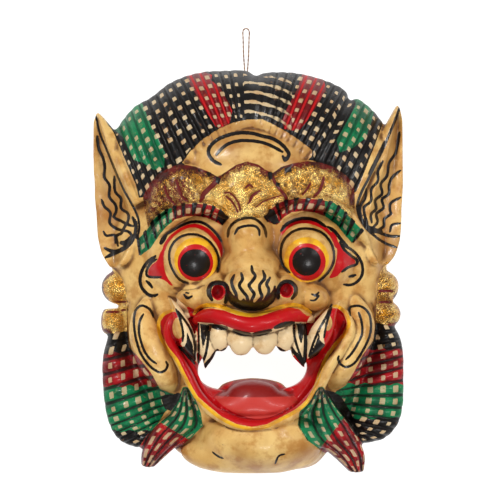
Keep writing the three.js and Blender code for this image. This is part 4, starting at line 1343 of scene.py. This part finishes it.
# %% [markdown]
# ## Knife cuts
# The whole skin is relaxed first. Then the chin, the bridge of the nose and the tongue are relaxed much more,
# without the push that keeps a shape its size, which melts the forms that make them up into one.
# Where the painter's line follows a cut, the wood is lower. The same distances that lay the paint also push
# the skin in: deep along the notches of the brows and the scrolls of the diadem, and just a scratch along the
# lines of the tusks. Cutting them as booleans would take hundreds of thin tools.


# %% Noise for a hand-carved surface
def soft_noise(points, size, seed):
    """Smooth random numbers from -1 to 1 that change over about so many millimetres."""
    p = points / size + seed * 17.3
    cell = np.floor(p)
    f = p - cell
    f = f * f * (3 - 2 * f)
    total = np.zeros(len(points))
    for corner in range(8):
        step = np.array([corner & 1, corner >> 1 & 1, corner >> 2 & 1])
        at = cell + step
        value = np.sin(at @ np.array([12.9898, 78.233, 37.719])) * 43758.5453
        value -= np.floor(value)
        weight = np.prod(np.where(step == 1, f, 1 - f), axis=1)
        total += (2 * value - 1) * weight
    return total


def read(items, name, width, kind=np.float64):
    flat = np.empty(len(items) * width, dtype=kind)
    items.foreach_get(name, flat)
    return flat.reshape(-1, width)


def points_of(mesh):
    return read(mesh.vertices, "co", 3)


def normals_of(mesh):
    return read(mesh.vertex_normals, "vector", 3)


def edges_of(mesh):
    return read(mesh.edges, "vertices", 2, np.int32)


def move_points(mesh, points):
    mesh.vertices.foreach_set("co", points.ravel())
    mesh.update()


def neighbour_mean(values, edges, count):
    """The mean of each point's neighbours."""
    total = np.zeros_like(values)
    for axis in range(values.shape[1]):
        total[:, axis] += np.bincount(edges[:, 0], values[edges[:, 1], axis], len(values))
        total[:, axis] += np.bincount(edges[:, 1], values[edges[:, 0], axis], len(values))
    return total / count[:, None]


def relax(points, edges, rounds, strength=0.5, push_back=True):
    """Smooths without shrinking: each pull towards the neighbours is followed by a push back. Without the
    push, neighbouring forms melt into one."""
    count = np.maximum(np.bincount(edges.ravel(), minlength=len(points)), 1)
    pulls = (strength, -strength * 1.04) if push_back else (strength,)
    for _ in range(rounds):
        for amount in pulls:
            points = points + amount * (neighbour_mean(points, edges, count) - points)
    return points


def groove_shape(edge, reach, depth):
    """A rounded cut: full depth inside the stroke, running out over so many millimetres beside it."""
    return depth * np.clip(1 - np.maximum(edge, 0) / reach, 0, 1) ** 1.5


# %% Relax the skin and cut into it
SOFT_ROUNDS = 110
SOFT_FADE = 4
SOFT_ABOVE = 4
BLOCK_LOW = np.array([-BLOCK[0] / 2, -BLOCK[1] / 2, -10.0])
BLOCK_HIGH = np.array([BLOCK[0] / 2, BLOCK[1] / 2, BLOCK[2]])
skin_edges = edges_of(skin)
skin_points = relax(points_of(skin), skin_edges, 4)
softness = np.clip(-patches(on_drawing(skin_points), SOFT_FIELDS) / SOFT_FADE, 0, 1)[:, None]
softness *= skin_points[:, 2:] > SOFT_ABOVE
skin_points = relax(skin_points, skin_edges, SOFT_ROUNDS, 0.5 * softness, push_back=False)
move_points(skin, skin_points)
paint, groove, rings = layers_of(skin_points, normals_of(skin))
facing = np.clip(normals_of(skin)[:, 2], 0, 1) ** 0.5
depth = groove_shape(paint["lake"], 1.2, 1.1)
depth += groove_shape(paint["ink"], 0.7, 0.22)
# The lines of painted shade are also cut in as shallow creases.
depth += groove_shape(paint["shade_line"], 1.8, 0.9)
depth += groove_shape(groove - 0.5, 1.0, 1.1)
depth -= 0.35 * np.clip(-paint["yellow"], 0, 0.6)
brow_fields = [upper + lower[::-1] for upper, lower in (LEFT_BROW, RIGHT_BROW)]
brow_edge = patches(on_drawing(skin_points), brow_fields)
depth += np.where(brow_edge < 0, groove_shape(paint["ink"], 0.8, 1.1), 0)
for ring in rings:
    depth += groove_shape(ring, 1.0, 0.7)
knife = 0.28 * soft_noise(skin_points, 13, 1) + 0.12 * soft_noise(skin_points, 5, 2)
skin_points -= normals_of(skin) * (depth * facing - knife)[:, None]
skin_points = np.clip(skin_points, BLOCK_LOW, BLOCK_HIGH)
move_points(skin, skin_points)
print("deepest cut", round(float(depth.max()), 2), "mm")


# %% Dips of the skin, where the material paints shade
def hollows(points, normals, edges, rounds):
    """How deep each point lies in a dip, in millimetres. More rounds look at a wider dip."""
    count = np.maximum(np.bincount(edges.ravel(), minlength=len(points)), 1)
    around = points
    for _ in range(rounds):
        around = neighbour_mean(around, edges, count)
    return ((around - points) * normals).sum(axis=1)


# The dips decide where the material paints shade.
NARROW_DIP = 6
WIDE_DIP = 60
narrow_dip = hollows(skin_points, normals_of(skin), skin_edges, NARROW_DIP)
wide_dip = hollows(skin_points, normals_of(skin), skin_edges, WIDE_DIP)
tree = KDTree(len(skin_points))
for index, point in enumerate(skin_points):
    tree.insert(point, index)
tree.balance()
print("dips up to", round(float(narrow_dip.max()), 2), "and", round(float(wide_dip.max()), 2), "mm")

# %% [markdown]
# ## The sawn back and the hollow
# The back is sawn flat, so that the mask can rest on its rim, and a wearer's hollow is gouged out of it. The
# scoops of the gouge stay rough, as nobody sees them.


# %% Cut the back
CORD_HOLE_RADIUS = 1.95
CORD_HOLE_HALF = 22


def block():
    """A block that reaches past the mask on every side but the back."""
    bm = bmesh.new()
    size = Matrix.Diagonal((BLOCK[0] * 1.2, BLOCK[1] * 1.2, BLOCK[2] * 2, 1.0))
    where = Matrix.Translation((0, 0, BLOCK[2])) @ size
    bmesh.ops.create_cube(bm, size=1, matrix=where)
    return bm


def cord_hole():
    bm = bmesh.new()
    middle = (CORD_X, CORD_START_Y + CORD_HOLE_HALF, CORD_HOLE_HEIGHT)
    bmesh.ops.create_cone(
        bm,
        cap_ends=True,
        segments=32,
        radius1=CORD_HOLE_RADIUS,
        radius2=CORD_HOLE_RADIUS,
        depth=2 * CORD_HOLE_HALF,
        matrix=Matrix.Translation(middle) @ Matrix.Rotation(math.pi / 2, 4, "X"),
    )
    return bm


def gouged_hollow():
    """Half an egg, with the shallow scoops that a gouge leaves."""
    bm = ball(HOLLOW_MIDDLE, HOLLOW_HALF, 0, 128)
    p = coordinates(bm)
    out = (p - HOLLOW_MIDDLE) / np.array(HOLLOW_HALF) ** 2
    out /= np.linalg.norm(out, axis=1, keepdims=True)
    scoops = np.abs(np.sin(p[:, 0] / 6.5 + soft_noise(p, 20, 5))) * np.abs(np.sin(p[:, 1] / 11))
    place(bm, p + out * (0.9 * scoops - 0.5)[:, None])
    return bm


skin = cut(skin, mesh_of([gouged_hollow()]))
skin = cut(skin, mesh_of([block()]), "INTERSECT")
skin = cut(skin, mesh_of([cord_hole()]))
print("cut skin", len(skin.vertices), "points")

# %% [markdown]
# ## Fewer faces where nothing is drawn
# Decimate thins the skin to about 192,000 triangles and spends them where they count: points near the edge
# of a paint have a weight of 0 in the vertex group, which keeps them, and so has one point in each small cube
# of space, so that plain ivory stays smoothly round. A finished piece stays under 200,000 triangles.

# %% Thin the skin
MOST_TRIANGLES = 192_000
KEEP_WITHIN = 0.72
FRONT_CELL = 2.3
BACK_CELL = 4.0
FRONT_ABOVE = 5
ON_THE_BACK = 0.08
NOT_DETAILED = ("bare", "shade_line", "tongue", "hair")


def triangles_of(mesh):
    return sum(len(face.vertices) - 2 for face in mesh.polygons)


def kept_points(points, normals, to_edge):
    front = (points[:, 2] > FRONT_ABOVE) & (normals[:, 2] > 0.12)
    kept = front & (to_edge < KEEP_WITHIN)
    cell = np.floor(points / np.where(front, FRONT_CELL, BACK_CELL)[:, None]).astype(np.int64)
    code = ((cell[:, 0] * 1009 + cell[:, 1]) * 1013 + cell[:, 2]) * 2 + front
    kept[np.unique(code, return_index=True)[1]] = True
    return kept


def thinned(mesh, to_edge):
    kept = kept_points(points_of(mesh), normals_of(mesh), to_edge)
    scratch = linked("scratch", mesh)
    group = scratch.vertex_groups.new(name="plain")
    group.add(np.flatnonzero(~kept).tolist(), 1.0, "REPLACE")
    modifier = scratch.modifiers.new("thin", "DECIMATE")
    modifier.ratio = min(1.0, MOST_TRIANGLES / triangles_of(mesh))
    modifier.vertex_group = group.name
    print("kept", int(kept.sum()), "of", len(kept), "points")
    return finished(scratch)


def same_place(points):
    """The point of the uncut skin that is nearest to each of these."""
    return np.array([tree.find(point)[1] for point in points])


to_edge = np.min([np.abs(paint[name]) for name in PAINTS if name not in NOT_DETAILED], axis=0)
skin = thinned(skin, to_edge[same_place(points_of(skin))])
skin.validate()
final_points = points_of(skin)
final_points[np.abs(final_points[:, 2]) < ON_THE_BACK, 2] = 0
move_points(skin, final_points)
print("mask", len(skin.vertices), "points and", triangles_of(skin), "triangles")


# %% Write the layers on the finished skin
def write(mesh, name, values):
    layer = mesh.attributes.new(name, "FLOAT", "POINT")
    layer.data.foreach_set("value", values.astype(np.float32))


paint, groove, _ = layers_of(final_points, normals_of(skin))
source = same_place(final_points)
for name in PAINTS:
    write(skin, name, paint[name])
write(skin, "groove", groove)
# The dips go onto the skin for the painted shade.
write(skin, "dip", narrow_dip[source])
write(skin, "wide_dip", wide_dip[source])
# How much clay shows through the leaf: worn leaf, and painted shade on the crest and by the stud rims.
write(skin, "rubbed_and_shaded", rubbed_and_shaded(on_drawing(final_points)))
# The four more layers are the grooves, the dips and the clay of the gold: they carry painted shade as well as
# wear.
print("layers", ", ".join(PAINTS), "and four more for the wear")

# %% The mask piece
move_points(skin, final_points * MM)
skin.shade_smooth()
mask = linked("carved_mask", skin)
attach(mask, "root")
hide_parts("mask")

# %% [markdown]
# ## Shader maths in Python
# A material with a dozen layers is a lot of nodes. This small class wraps one socket, so that a sum of values
# adds its own Math nodes and the recipe reads like a formula.


# %% A socket that can be added and mixed
class Value:
    def __init__(self, tree, socket):
        self.tree = tree
        self.socket = socket

    def node(self, kind, settings, values, out=0):
        """Any node: its settings first, then a number or a link for each of its sockets."""
        made = self.tree.nodes.new(kind)
        for name, setting in settings.items():
            setattr(made, name, setting)
        for key, value in values.items():
            if isinstance(value, Value):
                self.tree.links.new(value.socket, made.inputs[key])
            else:
                made.inputs[key].default_value = value
        return Value(self.tree, made.outputs[out])

    def math(self, operation, *values, clamp=False):
        settings = {"operation": operation, "use_clamp": clamp}
        return self.node("ShaderNodeMath", settings, dict(enumerate(values)))

    def __add__(self, other):
        return self.math("ADD", self, other)

    def __sub__(self, other):
        return self.math("SUBTRACT", self, other)

    def __rsub__(self, other):
        return self.math("SUBTRACT", other, self)

    def __mul__(self, other):
        return self.math("MULTIPLY", self, other)

    def __truediv__(self, other):
        return self.math("DIVIDE", self, other)

    __radd__ = __add__
    __rmul__ = __mul__

    def clamped(self):
        return self.math("ADD", self, 0.0, clamp=True)

    def between(self, low, high):
        """0 below low and 1 above high, with a soft step between them."""
        values = {"Value": self, "From Min": low, "From Max": high}
        return self.node("ShaderNodeMapRange", {"interpolation_type": "SMOOTHSTEP"}, values)

    def noise(self, scale, detail=3.0, roughness=0.5):
        settings = {"noise_dimensions": "3D"}
        values = {"Vector": self, "Scale": scale, "Detail": detail, "Roughness": roughness}
        return self.node("ShaderNodeTexNoise", settings, values)

    def blend(self, a, b):
        """Colour a where this is 0 and colour b where it is 1."""
        return self.node("ShaderNodeMix", {"data_type": "RGBA"}, {0: self, 6: a, 7: b}, out=2)

    def layer(self, name):
        return self.node("ShaderNodeAttribute", {"attribute_name": name}, {}, out=2)


def rgb(red, green, blue):
    """A screen colour from 0 to 255, as the light that a shader works with."""
    shares = [c / 255 for c in (red, green, blue)]
    linear = [s / 12.92 if s <= 10 / 255 else ((s + 0.055) / 1.055) ** 2.4 for s in shares]
    return (*linear, 1.0)


def new_material(name):
    """An empty material, its shader node and a value at each point of the piece."""
    material = bpy.data.materials.new(name)
    material.use_nodes = True
    tree = material.node_tree
    tree.nodes.clear()
    shader = tree.nodes.new("ShaderNodeBsdfPrincipled")
    output = tree.nodes.new("ShaderNodeOutputMaterial")
    tree.links.new(shader.outputs[0], output.inputs[0])
    coordinates_node = tree.nodes.new("ShaderNodeTexCoord")
    return material, shader, Value(tree, coordinates_node.outputs["Object"])


def feed(shader, value, name):
    value.tree.links.new(value.socket, shader.inputs[name])


# %% [markdown]
# ## The paint of the mask
# From below upwards: aged ivory with ochre glaze, black ground on the hair, red and green, gold leaf over a
# dark red clay, yellow lip lines, cream squares and black lines. Shade is painted in as well: the dips are
# painted darker, brown lines of painted shade run along the creases, the grooves take a colour of their own
# that is partly painted shade, and the black has a painted sheen of blue-grey. The leaf is worn through on
# high and coarse spots, so the clay shows as specks; along the crest of the diadem more clay shows, partly
# as painted shade, and by the rims of the ear studs it is painted shade.

# %% Painted and gilded wood
EDGE_SOFTNESS = 0.16
IVORY_LIGHT, IVORY, OCHRE = rgb(238, 198, 124), rgb(220, 171, 96), rgb(184, 122, 50)
# The first brown colours random stains and the painted shade in wide dips; the umber is painted shade in
# narrow dips and along creases.
STAIN_AND_SHADE, SHADE_UMBER = rgb(158, 98, 38), rgb(84, 48, 20)
# The blue-grey is a painted sheen on the black.
BLACK, SHEEN_SLATE, INK_BLACK = rgb(17, 14, 13), rgb(40, 40, 46), rgb(22, 16, 13)
RED, RED_DARK, RED_RUBBED = rgb(178, 18, 28), rgb(104, 10, 14), rgb(196, 70, 56)
SCARLET, SCARLET_DARK = rgb(196, 12, 20), rgb(128, 2, 10)
GREEN, GREEN_DARK, GREEN_RUBBED = rgb(16, 126, 76), rgb(8, 82, 50), rgb(70, 160, 110)
GOLD, GOLD_PALE, CLAY, CLAY_RED = rgb(206, 140, 38), rgb(255, 224, 138), rgb(60, 20, 12), rgb(104, 24, 18)
YELLOW, YELLOW_AGED = rgb(244, 184, 34), rgb(206, 142, 44)
CREAM, TOOTH, TOOTH_AGED = rgb(208, 184, 144), rgb(244, 214, 166), rgb(206, 156, 92)
TONGUE, TONGUE_DARK = rgb(202, 62, 54), rgb(140, 30, 28)
WOOD, WOOD_DARK = rgb(196, 152, 104), rgb(142, 98, 58)
TONGUE_CREASE = (-0.0862, -0.0872)


def painted_wood():
    material, shader, at = new_material("painted_gilded_wood")
    wobble = (at.noise(420, 2) - 0.5) * 0.5 + (at.noise(1500, 2) - 0.5) * 0.28
    broad = at.noise(26, 5, 0.6)
    cloudy = at.noise(90, 4, 0.6)
    fine = at.noise(300, 4, 0.65)
    speck = at.noise(1300, 3, 0.7)
    dip = at.layer("dip")
    wide = at.layer("wide_dip")

    def painted(name, slack=1.0):
        """1 inside a layer of paint and 0 outside, with an edge as unsteady as a brush."""
        return ((at.layer(name) + wobble * slack) / EDGE_SOFTNESS * -1 + 0.5).clamped()

    # Painted shade: how far into a dip each point lies, from the narrow and the wide dips.
    dip_shade = (dip.between(0.05, 0.42) + wide.between(0.35, 2.4) * 0.55).clamped()
    ridge = (dip * -1).between(0.06, 0.35)

    base = broad.between(0.36, 0.62).blend(IVORY, IVORY_LIGHT)
    base = (cloudy.between(0.44, 0.66) * 0.7).blend(base, OCHRE)
    base = (at.noise(17, 4).between(0.5, 0.66) * 0.6).blend(base, STAIN_AND_SHADE)
    base = (fine.between(0.56, 0.74) * 0.25).blend(base, OCHRE)
    # Painted shade: the wide dips are painted brown, and every dip darker still in umber.
    base = (wide.between(0.1, 1.6) * 0.75).blend(base, STAIN_AND_SHADE)
    base = (dip_shade * 0.8).blend(base, SHADE_UMBER)

    worn = fine.between(0.58, 0.74) * ridge
    on_hair, red, green, ink = painted("hair"), painted("red"), painted("green"), painted("ink")
    red_base = cloudy.between(0.34, 0.58).blend(RED, RED_DARK)
    red_base = (fine.between(0.56, 0.72) * 0.4).blend(red_base, RED_RUBBED)
    red_base = (on_hair * 0.55).blend(red_base, RED_DARK)
    green_base = cloudy.between(0.42, 0.64).blend(GREEN, GREEN_DARK)
    green_base = (fine.between(0.56, 0.72) * 0.35).blend(green_base, GREEN_RUBBED)
    # Painted sheen: the black is mottled with blue-grey for its gloss.
    black_base = (fine.between(0.5, 0.78) * 0.6).blend(BLACK, SHEEN_SLATE)
    # The scarlet is darker at random, and darker again in the dips as painted shade.
    scarlet_base = (dip_shade * 0.7 + broad.between(0.5, 0.8) * 0.35).blend(SCARLET, SCARLET_DARK)
    # The grooves of the hair, plaits and scarves take their own colour: black, or in the hair's green a dark
    # green and in its red a scarlet. It is partly black paint and partly painted shade.
    groove_ink_and_shade = 1 - at.layer("groove").between(0.5, 1.3)

    # Painted shade: brown lines along the creases.
    color = (painted("shade_line") * 0.55).blend(base, SHADE_UMBER)
    color = painted("ground").blend(color, black_base)
    color = red.blend(color, red_base)
    color = green.blend(color, green_base)
    groove_ink_and_shade_color = (on_hair * red).blend(INK_BLACK, SCARLET)
    groove_ink_and_shade_color = (on_hair * green).blend(groove_ink_and_shade_color, GREEN_DARK)
    color = (groove_ink_and_shade * 0.9).blend(color, groove_ink_and_shade_color)
    color = painted("scarlet").blend(color, scarlet_base)

    # Clay shows where the leaf is worn, and as painted shade on the crest and by the stud rims.
    rub_and_shade = at.layer("rubbed_and_shaded")
    clay = (speck * 0.62 + fine * 0.38 + rub_and_shade * 0.24).between(0.545, 0.61)
    gold = painted("gold")
    gold_color = (speck * 0.5 + cloudy * 0.5).between(0.4, 0.6).blend(GOLD, GOLD_PALE)
    gold_color = clay.blend(gold_color, cloudy.between(0.4, 0.6).blend(CLAY, CLAY_RED))
    color = gold.blend(color, gold_color)
    lake = painted("lake") * gold
    color = lake.blend(color, CLAY_RED)

    color = painted("yellow").blend(color, cloudy.between(0.42, 0.66).blend(YELLOW, YELLOW_AGED))
    tongue_color = at.node("ShaderNodeSeparateXYZ", {}, {0: at}, out=1).between(*TONGUE_CREASE)
    color = painted("tongue").blend(color, tongue_color.blend(TONGUE_DARK, TONGUE))
    tooth_color = (cloudy.between(0.5, 0.7) * 0.6).blend(TOOTH, TOOTH_AGED)
    # Painted shade: the teeth are painted umber in their dips, between and round them.
    tooth_color = (dip_shade * 0.85).blend(tooth_color, SHADE_UMBER)
    color = painted("tooth", 0.6).blend(color, tooth_color)
    # The cream squares fade out towards the grooves, where the groove colour is partly painted shade.
    cream = painted("cream") * (1 - groove_ink_and_shade * 0.85)
    cream = cream * (1 - fine.between(0.6, 0.72) * 0.6)
    cream_color = (cloudy.between(0.4, 0.75) * 0.6).blend(CREAM, OCHRE)
    tinted = (red + green).clamped() * 0.22
    color = (cream * (1 - tinted)).blend(color, cream_color)
    color = (worn * 0.45).blend(color, OCHRE)
    rubbed_off = fine.between(0.64, 0.76) * 0.45
    color = (ink * (1 - rubbed_off)).blend(color, INK_BLACK)

    grain_at = at.node("ShaderNodeMapping", {}, {"Vector": at, "Scale": (1.0, 0.035, 1.0)})
    grain = grain_at.noise(620, 5, 0.6)
    bare = painted("bare", 2.5)
    color = bare.blend(color, (grain * 0.6 + broad * 0.4).between(0.38, 0.6).blend(WOOD_DARK, WOOD))
    feed(shader, color, "Base Color")

    leaf = gold * (1 - clay) * (1 - lake) * (1 - ink) * (1 - bare)
    feed(shader, leaf * 0.8, "Metallic")
    rough = 0.3 + fine * 0.16 + bare * 0.42 - leaf * 0.13 + dip_shade * 0.2 - ink * 0.06
    feed(shader, rough, "Roughness")
    feed(shader, (0.12 * (1 - bare)).clamped(), "Coat Weight")
    shader.inputs["Coat Roughness"].default_value = 0.1
    shader.inputs["Specular IOR Level"].default_value = 0.24
    height = fine * 0.35 + speck * 0.12 + leaf * speck * 2.6 + bare * grain * 0.8 + at.noise(120, 2) * 0.6
    bump = at.node("ShaderNodeBump", {}, {"Strength": 0.55, "Distance": 0.0005, "Height": height})
    feed(shader, bump, "Normal")
    return material


mask.data.materials.clear()
mask.data.materials.append(painted_wood())


# %% Twine
def twine_material():
    material, shader, at = new_material("twisted_twine")
    fibre = at.noise(2600, 4, 0.7)
    tint = at.noise(420, 2).between(0.35, 0.65).blend(rgb(186, 150, 116), rgb(142, 100, 74))
    feed(shader, (fibre.between(0.35, 0.7) * 0.6).blend(tint, rgb(126, 88, 66)), "Base Color")
    shader.inputs["Roughness"].default_value = 0.85
    bump = at.node("ShaderNodeBump", {}, {"Strength": 0.6, "Distance": 0.0002, "Height": fibre})
    feed(shader, bump, "Normal")
    return material


for piece in (twine, knot):
    piece.data.materials.append(twine_material())

# %% [markdown]
# ## Floor and light
# The picture has a plain white ground. A pale floor that glows stands in for it, so no shadow shows. Three
# round lamps of 36 to 45 cm light the face from 1.5 m and give the varnish its crisp highlights.


# %% Stage
FLOOR_GLOW = 0.94
LIT_POINT = (0, 0, 0.03)


def pale_floor():
    bm = bmesh.new()
    bmesh.ops.create_grid(bm, x_segments=1, y_segments=1, size=2.5)
    bmesh.ops.translate(bm, vec=(0, 0, -0.0002), verts=bm.verts[:])
    mesh = bpy.data.meshes.new("floor")
    bm.to_mesh(mesh)
    bm.free()
    floor = linked("floor", mesh)
    material, shader, at = new_material("pale_floor")
    feed(shader, at.noise(4, 2).blend(rgb(150, 150, 150), rgb(144, 144, 145)), "Base Color")
    shader.inputs["Roughness"].default_value = 0.9
    shader.inputs["Specular IOR Level"].default_value = 0.1
    shader.inputs["Emission Color"].default_value = (1, 1, 1, 1)
    shader.inputs["Emission Strength"].default_value = FLOOR_GLOW
    mesh.materials.append(material)


def lamp(name, where, size, power):
    light = bpy.data.lights.new(name, "AREA")
    light.shape = "DISK"
    light.size = size
    light.energy = power
    holder = linked(name, light)
    holder.location = where
    holder.rotation_euler = (Vector(LIT_POINT) - Vector(where)).to_track_quat("-Z", "Y").to_euler()


pale_floor()
lamp("key", (-0.75, 0.95, 1.5), 0.36, 17)
lamp("fill", (0.95, 0.35, 1.4), 0.45, 8)
lamp("front", (0.15, -0.9, 1.5), 0.4, 7)
world = bpy.data.worlds.new("studio")
world.use_nodes = True
world.node_tree.nodes["Background"].inputs["Color"].default_value = (1, 1, 1, 1)
world.node_tree.nodes["Background"].inputs["Strength"].default_value = 0.28
bpy.context.scene.world = world
bpy.context.scene.view_settings.view_transform = "Standard"
